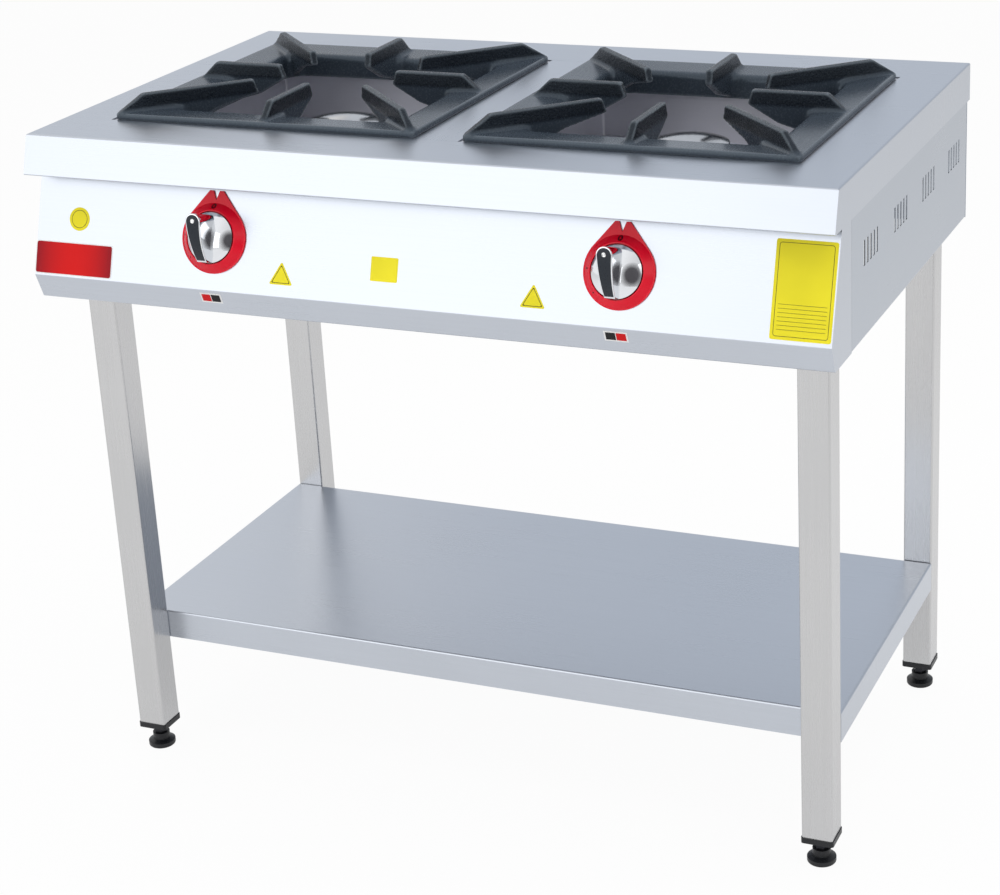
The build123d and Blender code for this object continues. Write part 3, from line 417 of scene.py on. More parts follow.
def turned_cap():
    """Polished cap: fine rings from the lathe about the burner's own middle."""
    material, tree, shader = new_material("polished_cap_steel")
    place = axis_parts(tree, object_coords(tree))
    centre_x, centre_y = grate_centre("right")
    across = math_node(tree, "SUBTRACT", math_node(tree, "ABSOLUTE", place["X"]), centre_x)
    along = math_node(tree, "SUBTRACT", place["Y"], centre_y)
    squares = [math_node(tree, "MULTIPLY", part, part) for part in (across, along)]
    radius = math_node(tree, "SQRT", math_node(tree, "ADD", *squares))
    rings = node(tree, "ShaderNodeTexNoise", noise_dimensions="1D", Scale=1.0, Detail=3.0)
    tree.links.new(math_node(tree, "MULTIPLY", radius, 900.0), rings.inputs["W"])
    smear = noise(tree, 25.0, 3.0, 0.5)
    paint(tree, shader, "Base Color", smear, (0.3, (0.50, 0.50, 0.51)), (0.7, (0.62, 0.62, 0.63)))
    paint(tree, shader, "Roughness", rings.outputs["Fac"], (0.3, 0.10), (0.7, 0.22))
    shader.inputs["Metallic"].default_value = 1.0
    bump(tree, shader, rings.outputs["Fac"], 0.00002)
    return material


# ------------------------ studio
def placed(name, data):
    """A new object in the scene."""
    made = bpy.data.objects.new(name, data)
    bpy.context.collection.objects.link(made)
    return made


def facing(place, target):
    """The turn of a lamp or card at a place that looks at a point."""
    return (Vector(target) - Vector(place)).to_track_quat("-Z", "Y").to_euler()


def seen_straight(tree, path):
    """1 for rays from the camera, also through glass."""
    return math_node(tree, "MAXIMUM", path.outputs["Is Camera Ray"], path.outputs["Is Transmission Ray"])


def shader_mix(tree, factor, first, second):
    """The first shader where the factor is 0, the second where it is 1."""
    made = node(tree, "ShaderNodeMixShader")
    for socket, source in zip(made.inputs, (factor, first, second)):
        tree.links.new(source, socket)
    return made.outputs[0]


def studio_floor():
    """Pale floor that shows white to the camera and to reflections, and keeps the shadow."""
    material, tree, shader = new_material("studio_floor")
    shader.inputs["Base Color"].default_value = (0.93, 0.93, 0.93, 1)
    shader.inputs["Roughness"].default_value = 0.7
    glow = node(tree, "ShaderNodeEmission", Color=(1, 1, 1, 1), Strength=1.0)
    path = node(tree, "ShaderNodeLightPath")
    seen = math_node(tree, "MULTIPLY", seen_straight(tree, path), FLOOR_GLOW)
    mirrored = math_node(tree, "MULTIPLY", path.outputs["Is Glossy Ray"], FLOOR_SHEEN)
    share = math_node(tree, "MAXIMUM", seen, mirrored)
    mixed = shader_mix(tree, share, shader.outputs[0], glow.outputs[0])
    tree.links.new(mixed, tree.nodes["Material Output"].inputs["Surface"])
    return material


def build_room():
    """White to the camera, soft grey light on the range, and a shaded white room in reflections."""
    world = bpy.data.worlds.new("studio_world")
    bpy.context.scene.world = world
    world.use_nodes = True
    tree = world.node_tree
    light = tree.nodes["Background"]
    light.inputs["Color"].default_value = (1, 1, 1, 1)
    light.inputs["Strength"].default_value = ROOM_LIGHT
    white = node(tree, "ShaderNodeBackground", Color=(1, 1, 1, 1), Strength=1.0)
    path = node(tree, "ShaderNodeLightPath")
    # Reflections see the same white room, less bright behind the range and to its right, but
    # for a bright patch high up at the back left, which the shelf shows.
    direction = axis_parts(tree, node(tree, "ShaderNodeTexCoord").outputs["Generated"])
    x, y, z = (math_node(tree, "MULTIPLY_ADD", direction[axis], 0.5, 0.5) for axis in "XYZ")
    across = ramp(tree, x, (0.5, 1.0), (1.0, DARK_SIDE))
    along = ramp(tree, y, (0.45, 1.0), (0.75, BACK_WALL))
    high = ramp(tree, z, (0.61, 0.0), (0.67, 1.0))
    left = ramp(tree, x, (0.27, 1.0), (0.36, 0.0))
    window = math_node(tree, "MULTIPLY", high, left)
    room = colour_node(tree, "MAXIMUM", colour_node(tree, "MULTIPLY", across, along), window)
    glossy = node(tree, "ShaderNodeBackground", Color=room)
    lit = shader_mix(tree, path.outputs["Is Glossy Ray"], light.outputs[0], glossy.outputs[0])
    shown = shader_mix(tree, seen_straight(tree, path), lit, white.outputs[0])
    tree.links.new(shown, tree.nodes["World Output"].inputs["Surface"])


def build_studio():
    floor_mesh = bpy.data.meshes.new("studio_floor")
    corners = [(FLOOR_REACH * x, FLOOR_REACH * y, 0) for x, y in ((-1, -1), (1, -1), (1, 1), (-1, 1))]
    floor_mesh.from_pydata(corners, [], [(0, 1, 2, 3)])
    floor_mesh.materials.append(studio_floor())
    floor = placed("studio_floor", floor_mesh)
    build_room()
    for name, sizes in LAMPS.items():
        soft_box(name, *sizes)
    dark_flag(*DARK_FLAG)
    bpy.context.scene.view_settings.view_transform = "Standard"


def soft_box(name, place, target, width, height, power, mirrored):
    """Rectangular area lamp that faces a point."""
    lamp = bpy.data.lights.new(name, "AREA")
    lamp.shape = "RECTANGLE"
    lamp.size = width
    lamp.size_y = height
    lamp.energy = power
    holder = placed(name, lamp)
    holder.location = place
    holder.rotation_euler = facing(place, target)
    holder.visible_camera = False
    holder.visible_glossy = mirrored


def dark_flag(place, target, width, height):
    """Dark card with a soft edge by the camera, there only for the bright metal to reflect."""
    mesh = bpy.data.meshes.new("studio_flag")
    mesh.from_pydata([(-1, -1, 0), (1, -1, 0), (1, 1, 0), (-1, 1, 0)], [], [(0, 1, 2, 3)])
    material, tree, shader = new_material("studio_flag")
    shader.inputs["Base Color"].default_value = (0.075, 0.07, 0.075, 1)
    reach = node(tree, "ShaderNodeVectorMath", operation="LENGTH")
    tree.links.new(object_coords(tree), reach.inputs[0])
    paint(tree, shader, "Alpha", reach.outputs["Value"], (0.42, 1.0), (0.96, 0.0))
    mesh.materials.append(material)
    card = placed("studio_flag", mesh)
    card.location = place
    card.scale = (width / 2, height / 2, 1)
    card.rotation_euler = facing(place, target)
    card.visible_camera = False
    card.visible_diffuse = False
    card.visible_shadow = False
    card.visible_transmission = False


def place_camera():
    """Looks down on the range from its right front, as the photograph does."""
    azimuth = math.radians(CAMERA_ROUND)
    elevation = math.radians(CAMERA_UP)
    roll = math.radians(CAMERA_ROLL)
    lens = bpy.data.cameras.new("camera")
    lens.sensor_width = CAMERA_SENSOR
    lens.lens = CAMERA_LENS
    lens.shift_x = CAMERA_SHIFT
    lens.shift_y = CAMERA_SHIFT
    camera = placed("camera", lens)
    back = Vector((
        math.sin(azimuth) * math.cos(elevation),
        -math.cos(azimuth) * math.cos(elevation),
        math.sin(elevation),
    ))
    turn = (-back).to_track_quat("-Z", "Y").to_matrix() @ Matrix.Rotation(roll, 3, "Z")
    camera.matrix_world = Matrix.Translation(CAMERA_PLACE) @ turn.to_4x4()
    bpy.context.scene.camera = camera


# ------------------------ mesh helpers
def new_piece(name, mesh, material, body):
    piece = placed(name, mesh)
    mesh.materials.clear()
    mesh.materials.append(material)
    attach(piece, body)
    return piece


def baked(holder):
    """The object's mesh with all its modifiers taken in; the object itself goes."""
    graph = bpy.context.evaluated_depsgraph_get()
    mesh = bpy.data.meshes.new_from_object(holder.evaluated_get(graph))
    holder.modifiers.clear()
    bpy.data.objects.remove(holder)
    return mesh


def gathered(meshes):
    """Several meshes in one bmesh."""
    built = bmesh.new()
    for mesh in meshes:
        built.from_mesh(mesh)
    return built


def plain_mesh(built, name):
    """A bmesh as a mesh."""
    mesh = bpy.data.meshes.new(name)
    built.to_mesh(mesh)
    built.free()
    return mesh


def closed_mesh(built, name):
    """The same, with its faces turned outwards."""
    bmesh.ops.recalc_face_normals(built, faces=built.faces)
    return plain_mesh(built, name)


def merged_node(name):
    """A copy of a CAD node's loose triangles with their points merged."""
    built = gathered([frame["nodes"][name].data])
    bmesh.ops.remove_doubles(built, verts=built.verts, dist=MERGE_DISTANCE)
    return built


def circle(centre, radius, count):
    """Points round a circle, as (x, y)."""
    turns = [k / count * 2 * math.pi for k in range(count)]
    return [(centre[0] + radius * math.cos(t), centre[1] + radius * math.sin(t)) for t in turns]


def rounded_square(half, corner, steps=6):
    """Outline points of a square with round corners, anticlockwise."""
    points = []
    for quarter in range(4):
        start = quarter * math.pi / 2
        cx = (half - corner) * (1 if quarter in (0, 3) else -1)
        cy = (half - corner) * (1 if quarter in (0, 1) else -1)
        for step in range(steps + 1):
            angle = start + step / steps * math.pi / 2
            points.append((cx + corner * math.cos(angle), cy + corner * math.sin(angle)))
    return points


def quad_band(built, low, high):
    """Quads between two rings of points."""
    count = len(low)
    for k in range(count):
        after = (k + 1) % count
        built.faces.new((low[k], low[after], high[after], high[k]))


def skin_loops(loops):
    """Closed tube of quads through rings of points, each ring joined to the next and last to first."""
    built = bmesh.new()
    rings = [[built.verts.new(point) for point in ring] for ring in loops]
    for low, high in zip(rings, rings[1:] + rings[:1]):
        quad_band(built, low, high)
    return closed_mesh(built, "skin")


def turned(profile, count):
    """Turned disc about Z from (radius, height) points, closed flat at both ends."""
    built = bmesh.new()
    loops = [[built.verts.new((x, y, z)) for x, y in circle((0, 0), r, count)] for r, z in profile]
    for low, high in zip(loops, loops[1:]):
        quad_band(built, low, high)
    built.faces.new(loops[0][::-1])
    built.faces.new(loops[-1])
    return closed_mesh(built, "turned")


# ------------------------ geometry node helpers
def new_tree(name, inputs):
    """A geometry node group with a geometry in and out, its named inputs and a finish."""
    tree = bpy.data.node_groups.new(name, "GeometryNodeTree")
    face = tree.interface
    face.new_socket("Geometry", in_out="INPUT", socket_type="NodeSocketGeometry")
    for title, kind, value in inputs:
        socket = face.new_socket(title, in_out="INPUT", socket_type="NodeSocket" + kind)
        socket.default_value = value
    face.new_socket("Finish", in_out="INPUT", socket_type="NodeSocketMaterial")
    face.new_socket("Geometry", in_out="OUTPUT", socket_type="NodeSocketGeometry")
    return tree, tree.nodes.new("NodeGroupInput").outputs


def end_tree(tree, shape, given):
    """Makes the instances real, gives them the finish and ends the tree."""
    real = node(tree, "GeometryNodeRealizeInstances", Geometry=shape)
    finish = node(tree, "GeometryNodeSetMaterial", Geometry=real.outputs[0], Material=given["Finish"])
    tree.links.new(finish.outputs[0], tree.nodes.new("NodeGroupOutput").inputs[0])
    return tree


def run_tree(mesh, tree, **values):
    """Runs a geometry node group on a mesh with these inputs and returns the plain mesh."""
    holder = placed("holder", mesh)
    modifier = holder.modifiers.new(tree.name, "NODES")
    modifier.node_group = tree
    for socket in tree.interface.items_tree:
        title = socket.name.replace(" ", "_")
        if getattr(socket, "in_out", "") == "INPUT" and title in values:
            modifier[socket.identifier] = values[title]
    return baked(holder)


# ------------------------ grates
def grate_centre(side):
    low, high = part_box("grate_" + side)
    return (low.x + high.x) / 2, (low.y + high.y) / 2


def flange_mesh():
    """The grate's dished flange, its roll-over and its skirt, as one closed ring."""
    under = RIM_TOP - FLANGE_THICKNESS
    dish = RIM_TOP - DISH_DROP
    low_half = WELL_HALF - WELL_TAPER
    rings = [
        (GRATE_HALF, GRATE_CORNER, FLANGE_UNDER), (GRATE_HALF, GRATE_CORNER, RIM_TOP - RIM_EDGE),
        (GRATE_HALF - RIM_EDGE, GRATE_CORNER, RIM_TOP), (GRATE_HALF - RIM_WIDTH, GRATE_CORNER, RIM_TOP),
    ]
    for step in range(ROLL_STEPS + 1):
        bend = step / ROLL_STEPS * math.pi / 2
        half = WELL_HALF + ROLL_RADIUS * (1 - math.sin(bend))
        corner = WELL_CORNER + ROLL_RADIUS * (1 - math.sin(bend))
        rings.append((half, corner, dish - ROLL_RADIUS * (1 - math.cos(bend))))
    rings += [
        (low_half, WELL_CORNER, SKIRT_BOTTOM), (low_half + SKIRT_WALL, WELL_CORNER, SKIRT_BOTTOM),
        (WELL_HALF + SKIRT_WALL, WELL_CORNER, under - OVERLAP),
        (LOCATOR_HALF, GRATE_CORNER, under - DISH_DROP), (LOCATOR_HALF, GRATE_CORNER, FLANGE_UNDER),
    ]
    return skin_loops([[(x, y, z) for x, y in rounded_square(h, c)] for h, c, z in rings])


def fin_outline(shape, reach, skirt_in):
    """Side view of a fin as (distance from the middle, height) points."""
    root = skirt_in + SKIRT_WALL / 2
    root_high = RIM_TOP - FLANGE_THICKNESS + OVERLAP
    tip = reach - shape["tip"]
    return [
        (tip, RIM_TOP - DISH_DROP / 5),
        (reach - shape["crest_out"], FIN_TOP),
        (shape["crest_in"], FIN_TOP),
        (shape["nose"], FIN_TOP - FIN_NOSE),
        (shape["heel"], FIN_TOP - shape["knee"]),
        (root, SKIRT_BOTTOM + FIN_THICKNESS / 4),
        (root, root_high),
        (tip - FLANGE_THICKNESS, root_high),
    ]


def root_outline(reach, skirt_in, lift):
    """Side view of a fin's foot: a layer that stands off the flange's section by lift."""
    dish = RIM_TOP - DISH_DROP
    under = RIM_TOP - FLANGE_THICKNESS
    half_bend = 0.3 * ROLL_RADIUS            # the roll-over's middle, in from its edges
    slant = 0.7 * lift
    return [
        (reach - 2 * RIM_WIDTH, RIM_TOP - DISH_DROP / 2 + lift),
        (skirt_in + ROLL_RADIUS, dish + lift),
        (skirt_in + half_bend - slant, dish - half_bend + slant),
        (skirt_in - lift, dish - ROLL_RADIUS),
        (skirt_in - lift, SKIRT_BOTTOM + ROLL_RADIUS),
        (skirt_in + SKIRT_WALL / 2, SKIRT_BOTTOM + ROLL_RADIUS),
        (skirt_in + SKIRT_WALL / 2, under),
        (reach - 2 * RIM_WIDTH, under),
    ]


def fin_ring_tree():
    """Extrudes one flat outline to a fin and sets it round the middle at equal turns."""
    tree, given = new_tree("fin_ring", [
        ("Thickness", "Float", 0.009), ("Count", "Int", 4), ("First Turn", "Float", 0.0),
    ])
    outline, thickness = given["Geometry"], given["Thickness"]
    extrude = node(
        tree, "GeometryNodeExtrudeMesh", Mesh=outline, Offset_Scale=thickness, Individual=False
    )
    flip = node(tree, "GeometryNodeFlipFaces", Mesh=outline)
    join = node(tree, "GeometryNodeJoinGeometry")
    for shell in (extrude, flip):
        tree.links.new(shell.outputs["Mesh"], join.inputs[0])
    merge = node(tree, "GeometryNodeMergeByDistance", Geometry=join.outputs[0], Distance=MERGE_DISTANCE)
    shift = node(tree, "ShaderNodeCombineXYZ", Y=math_node(tree, "MULTIPLY", thickness, 0.5))
    centred = node(
        tree, "GeometryNodeTransform", Geometry=merge.outputs[0], Translation=shift.outputs[0]
    )
    points = node(tree, "GeometryNodePoints", Count=given["Count"])
    index = node(tree, "GeometryNodeInputIndex")
    step = math_node(tree, "DIVIDE", 2 * math.pi, given["Count"])
    turn = math_node(tree, "MULTIPLY_ADD", index.outputs[0], step, given["First Turn"])
    rotation = node(tree, "ShaderNodeCombineXYZ", Z=turn)
    copies = node(
        tree, "GeometryNodeInstanceOnPoints", Points=points.outputs[0],
        Instance=centred.outputs[0], Rotation=rotation.outputs[0],
    )
    return end_tree(tree, copies.outputs[0], given)


def flat_face(points):
    """A side view's outline as one face in the XZ plane."""
    mesh = bpy.data.meshes.new("outline")
    mesh.from_pydata([(t, 0, z) for t, z in points], [], [tuple(range(len(points)))])
    return mesh


def build_grates(finish):
    """Flange, skirt, fins and the fins' feet, fused to one casting."""
    tree = fin_ring_tree()
    diagonal = math.sqrt(2)
    low_half = WELL_HALF - WELL_TAPER
    corner_in = low_half * diagonal - WELL_CORNER * (diagonal - 1)
    layers = []
    for shape, reach, skirt_in, first in (
        (CORNER_FIN, GRATE_HALF * diagonal, corner_in, math.pi / 4),
        (MIDDLE_FIN, GRATE_HALF, low_half, 0.0),
    ):
        layers.append((fin_outline(shape, reach, skirt_in), FIN_THICKNESS, first))
        for spread, lift in ROOT_STEPS:
            layers.append((root_outline(reach, skirt_in, lift), FIN_THICKNESS + 2 * spread, first))
    parts = [flange_mesh()]
    for outline, thickness, first in layers:
        parts.append(run_tree(
            flat_face(outline), tree, Thickness=thickness, Count=4, First_Turn=first, Finish=finish
        ))
    holder = placed("grate_holder", closed_mesh(gathered(parts), "grate"))
    remesh = holder.modifiers.new("fuse", "REMESH")
    remesh.mode = "VOXEL"
    remesh.voxel_size = CAST_VOXEL
    remesh.use_smooth_shade = True
    soften = holder.modifiers.new("soften", "SMOOTH")
    soften.factor = 0.5
    soften.iterations = 2
    skin = baked(holder)
    for side in SIDES:
        mesh = skin.copy()
        mesh.transform(Matrix.Translation((*grate_centre(side), 0)))
        grate = new_piece("cast_grate_" + side, mesh, finish, "grate_" + side)
        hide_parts("grate_" + side)


# ------------------------ films
def panel_point(x, down):
    """A point on the control panel's face, down its slope from the line under the band."""
    point = TAP["left"] + PANEL_UP * (PANEL_LINE_UP - down)
    point.x = x
    return point


def rounded_polygon(corners, radius, steps=4):
    """2-D outline with each corner rounded."""
    points = []
    count = len(corners)
    for k in range(count):
        here = Vector(corners[k])
        before = (Vector(corners[k - 1]) - here).normalized()
        after = (Vector(corners[(k + 1) % count]) - here).normalized()
        half = math.acos(max(-1, min(1, before.dot(after)))) / 2
        reach = radius / math.tan(half)
        start = here + before * reach
        end = here + after * reach
        centre = here + (before + after).normalized() * (radius / math.sin(half))
        a = start - centre
        b = end - centre
        sweep = a.angle_signed(b)
        for step in range(steps + 1):
            turn = -sweep * step / steps
            points.append(centre + Vector((
                a.x * math.cos(turn) - a.y * math.sin(turn),
                a.x * math.sin(turn) + a.y * math.cos(turn),
            )))
    return points


def rectangle(left, right, top, foot, inset=0):
    return [
        (left + inset, top + inset), (right - inset, top + inset),
        (right - inset, foot - inset), (left + inset, foot - inset),
    ]


def film_piece(name, outline, lift, material):
    """Thin film over an outline of points on a sheet; lift is the way off the sheet."""
    built = bmesh.new()
    low = [built.verts.new(point) for point in outline]
    high = [built.verts.new(point + lift * FILM) for point in outline]
    built.faces.new(high)
    built.faces.new(low[::-1])
    quad_band(built, low, high)
    return new_piece(name, closed_mesh(built, name), material, "range")


def panel_film(name, corners, radius, material, layer=0):
    """Film on the control panel; corners are (x, way down the slope)."""
    outline = [
        panel_point(p.x, p.y) + PANEL_OUT * FILM * layer for p in rounded_polygon(corners, radius)
    ]
    return film_piece(name, outline, PANEL_OUT, material)


def panel_border(name, outer, inner, material):
    """Thin printed border on a panel film, between two outlines of (x, way down) points."""
    rings = [
        [panel_point(x, down) + PANEL_OUT * FILM * (1 + BORDER_STAND * layer) for x, down in outline]
        for outline, layer in ((outer, 0), (outer, 1), (inner, 1), (inner, 0))
    ]
    return new_piece(name, skin_loops(rings), material, "range")


def lip_film(name, left, right, top, foot, material, layer):
    """Film on the lip, with its top and foot measured down from the nose."""
    nose = TAP["left"] - PANEL_UP * NOSE_DOWN
    nose.x = 0
    outline = [
        nose + Vector((p.x, 0, 0)) + LIP_DOWN * p.y + LIP_OUT * FILM * layer
        for p in rounded_polygon(rectangle(left, right, top, foot), MARK_CORNER)
    ]
    film_piece(name, outline, LIP_OUT, material)


def build_films():
    """Coloured films on the panel, and the red and black marks under the knobs."""
    yellow = moulded("film_yellow", (1.0, 0.88, 0.03), 0.40, specular=0.15)
    red = moulded("film_red", (0.74, 0.006, 0.008), 0.34, specular=0.15)
    white = moulded("film_white", (0.96, 0.96, 0.96), 0.40, specular=0.2)
    black = moulded("film_black", (0.012, 0.012, 0.014), 0.40, specular=0.2)
    line = moulded("film_line", (0.10, 0.08, 0.02), 0.4, specular=0.2)
    plate_red = printed_plate()
    panel_film("round_film", circle(ROUND_CENTRE, ROUND_REACH, 8), ROUND_CORNER, yellow)
    outer, inner = (circle(ROUND_CENTRE, radius, 48) for radius in ROUND_RING)
    panel_border("round_film_ring", outer, inner, line)
    panel_film("name_plate_edge", rectangle(*PLATE_EDGE), PLATE_CORNERS[0], white)
    plate = rectangle(*PLATE_FACE)
    panel_film("name_plate", plate, PLATE_CORNERS[1], plate_red, layer=1)
    for k, x in enumerate(TRIANGLE_MIDDLES):
        name = "triangle_film_%d" % (k + 1)
        corners = [(x, TRIANGLE_TOP), (x + TRIANGLE_HALF, TRIANGLE_FOOT), (x - TRIANGLE_HALF, TRIANGLE_FOOT)]
        panel_film(name, corners, SMALL_CORNER, yellow)
        middle = Vector((x, TRIANGLE_MIDDLE))
        outer, inner = (
            rounded_polygon([middle + (Vector(c) - middle) * share for c in corners], TRIANGLE_BORDER_CORNER)
            for share in TRIANGLE_BORDER
        )
        panel_border(name + "_border", outer, inner, line)
    panel_film("square_film", rectangle(*SQUARE_BOX), SMALL_CORNER, yellow)
    panel_film("tall_film", rectangle(*TALL_BOX), TALL_CORNER, yellow)
    outer, inner = (
        rounded_polygon(rectangle(*TALL_BORDER, inset=inset), TALL_BORDER_CORNER - inset)
        for inset in (0, TALL_BORDER_LINE)
    )
    panel_border("tall_film_border", outer, inner, line)
    for k in range(RULE_COUNT):
        top = RULE_TOP + RULE_STEP * k
        corners = rectangle(*RULE_ENDS, top, top + RULE_LINE)
        panel_film("tall_film_rule_%d" % (k + 1), corners, RULE_CORNER, line, layer=1)
    for k, (x, first, second) in enumerate(zip(BURNER_MARK_MIDDLES, (red, black), (black, red))):
        label = "burner_mark_%d_" % (k + 1)
        reach, top, foot = MARK_HALF - MARK_EDGE, MARK_TOP + MARK_EDGE, MARK_FOOT - MARK_EDGE
        lip_film(label + "ground", x - MARK_HALF, x + MARK_HALF, MARK_TOP, MARK_FOOT, white, 0)
        lip_film(label + "a", x - reach, x - MARK_GAP, top, foot, first, 1)
        lip_film(label + "b", x + MARK_GAP, x + reach, top, foot, second, 1)


# ------------------------ dial marks and handle dots
def text_mesh(words, size, depth):
    """Raised lettering as a mesh about its own middle, in the XY plane."""
    curve = bpy.data.curves.new("dial_text", "FONT")
    curve.body = words
    curve.size = size
    curve.extrude = depth / 2
    curve.offset = size / 40
    curve.align_x = "CENTER"
    curve.align_y = "CENTER"
    return baked(placed("dial_text", curve))


def flame_mesh(size, depth):
    """A small flame for the dial: one drop-shaped outline with thickness."""
    outline = []
    for k in range(20):
        turn = k / 20 * 2 * math.pi
        pinch = (1 - math.cos(turn)) / 2
        outline.append((0.34 * size * math.sin(turn) * pinch ** 0.8, 0.5 * size * math.cos(turn)))
    return skin_loops([
        [(x * share, y * share, z) for x, y in outline]
        for share, z in ((0.02, -depth), (1, -depth), (1, depth), (0.02, depth))
    ])


def tap_matrix(side):
    """From the tap's own axes (x right, y up the panel, z out of it) to the range's."""
    turn = Matrix((Vector((1, 0, 0)), PANEL_UP, PANEL_OUT)).transposed().to_4x4()
    return Matrix.Translation(TAP[side]) @ turn


def on_cone(side, angle):
    """Place on the rosette's cone: at its middle radius, this far round from the top."""
    middle_r = (ROSETTE_RING_R + ROSETTE_MOUTH_R) / 2
    slope = math.atan2(ROSETTE_RISE - ROSETTE_FLOOR, ROSETTE_RING_R - ROSETTE_MOUTH_R)
    middle_z = (ROSETTE_RISE + ROSETTE_FLOOR) / 2
    return (
        tap_matrix(side) @ Matrix.Rotation(angle, 4, "Z")
        @ Matrix.Translation((0, middle_r, middle_z)) @ Matrix.Rotation(-slope, 4, "X")
    )


def build_dial_marks():
    ink = moulded("dial_ink", (0.020, 0.001, 0.003), 0.4, specular=0.2)
    dot = plain_metal("dot_chrome", (0.85, 0.86, 0.87), 0.15, 0.05)
    for side in SIDES:
        zero = text_mesh("0", ZERO_SIZE, ZERO_DEPTH)
        zero.transform(on_cone(side, 0.0))
        marks = [zero]
        for size, angle in FLAME_MARKS:
            flame = flame_mesh(size, FLAME_DEPTH)
            flame.transform(on_cone(side, math.radians(angle)))
            marks.append(flame)
        mesh = plain_mesh(gathered(marks), "dial_marks")
        new_piece("dial_marks_" + side, mesh, ink, "range")
        disc = turned(DOT_PROFILE, 32)
        place = Matrix.Translation((0, DOT_UP, DOT_OUT)) @ Matrix.Rotation(DOT_TILT, 4, "X")
        disc.transform(tap_matrix(side) @ place)
        new_piece("handle_dot_" + side, disc, dot, "knob_set_" + side)


# ------------------------ threads, screws and springs
def thread_tree():
    """A ridge wound round a stud: a spiral curve swept with a small section."""
    tree, given = new_tree("stud_thread", [
        ("Radius", "Float", 0.005), ("Pitch", "Float", 0.0015), ("Length", "Float", 0.01),
        ("Ridge", "Float", 0.0004),
    ])
    radius, length = given["Radius"], given["Length"]
    spiral = node(
        tree, "GeometryNodeCurveSpiral", Resolution=28, Start_Radius=radius, End_Radius=radius,
        Height=length, Rotations=math_node(tree, "DIVIDE", length, given["Pitch"]),
    )
    section = node(tree, "GeometryNodeCurvePrimitiveCircle", Resolution=4, Radius=given["Ridge"])
    swept = node(
        tree, "GeometryNodeCurveToMesh", Fill_Caps=True, Curve=spiral.outputs[0],
        Profile_Curve=section.outputs["Curve"],
    )
    return end_tree(tree, swept.outputs[0], given)


def wound_thread(tree, name, radius, length, ridge, place, body, finish):
    mesh = run_tree(
        bpy.data.meshes.new("thread"), tree,
        Radius=radius, Pitch=THREAD_PITCH, Length=length, Ridge=ridge, Finish=finish,
    )
    mesh.transform(place)
    return new_piece(name, mesh, finish, body)


def build_threads(stem_finish, inlet_finish):
    tree = thread_tree()
    for corner in CORNERS:
        low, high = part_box("foot_stem_" + corner)
        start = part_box("foot_pad_" + corner)[1].z + STEM_HEX_HEIGHT + OVERLAP
        place = Matrix.Translation(((low.x + high.x) / 2, (low.y + high.y) / 2, start))
        wound_thread(
            tree, "stem_thread_" + corner, STEM_R, high.z - start - OVERLAP, STEM_RIDGE, place,
            "foot_stem_" + corner, stem_finish,
        )
    low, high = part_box("gas_inlet")
    middle = ((low.x + high.x) / 2, high.y - OVERLAP, (low.z + high.z) / 2)
    place = Matrix.Translation(middle) @ Matrix.Rotation(math.pi / 2, 4, "X")
    length = INLET_THREAD - 2 * OVERLAP
    wound_thread(tree, "inlet_thread", INLET_R, length, INLET_RIDGE, place, "range", inlet_finish)


def screw_tree():
    """Sets one screw at each point, turned one way: washer, chamfered hexagon head and shank."""
    tree, given = new_tree("hex_screws", [
        ("Across", "Float", 0.008), ("Head", "Float", 0.003), ("Shank", "Float", 0.0025),
        ("Reach", "Float", 0.01), ("Turn", "Vector", (0, 0, 0)),
    ])

    def sized(name, share):
        return math_node(tree, "MULTIPLY", given[name], share)

    join = node(tree, "GeometryNodeJoinGeometry")
    for sides, wide, below, above, tall, start, height in SCREW_PARTS:
        cone = node(
            tree, "GeometryNodeMeshCone", Vertices=sides, Radius_Bottom=sized(wide, below),
            Radius_Top=sized(wide, above), Depth=sized(tall, height),
        )
        offset = node(tree, "ShaderNodeCombineXYZ", Z=sized(tall, start))
        lift = node(
            tree, "GeometryNodeTransform", Geometry=cone.outputs["Mesh"], Translation=offset.outputs[0]
        )
        tree.links.new(lift.outputs[0], join.inputs[0])
    copies = node(
        tree, "GeometryNodeInstanceOnPoints", Points=given["Geometry"], Instance=join.outputs[0],
        Rotation=given["Turn"],
    )
    return end_tree(tree, copies.outputs[0], given)


def solid_boxes(name):
    """Box of each separate solid in a CAD node, from the islands of a merged copy."""
    built = merged_node(name)
    left = set(built.verts)
    boxes = []
    while left:
        group, front = set(), [left.pop()]
        while front:
            vert = front.pop()
            group.add(vert)
            for edge in vert.link_edges:
                other = edge.other_vert(vert)
                if other in left:
                    left.remove(other)
                    front.append(other)
        low = Vector([min(v.co[k] for v in group) for k in range(3)])
        high = Vector([max(v.co[k] for v in group) for k in range(3)])
        boxes.append((low, high))
    built.free()
    return sorted(boxes, key=lambda box: tuple(box[0]))


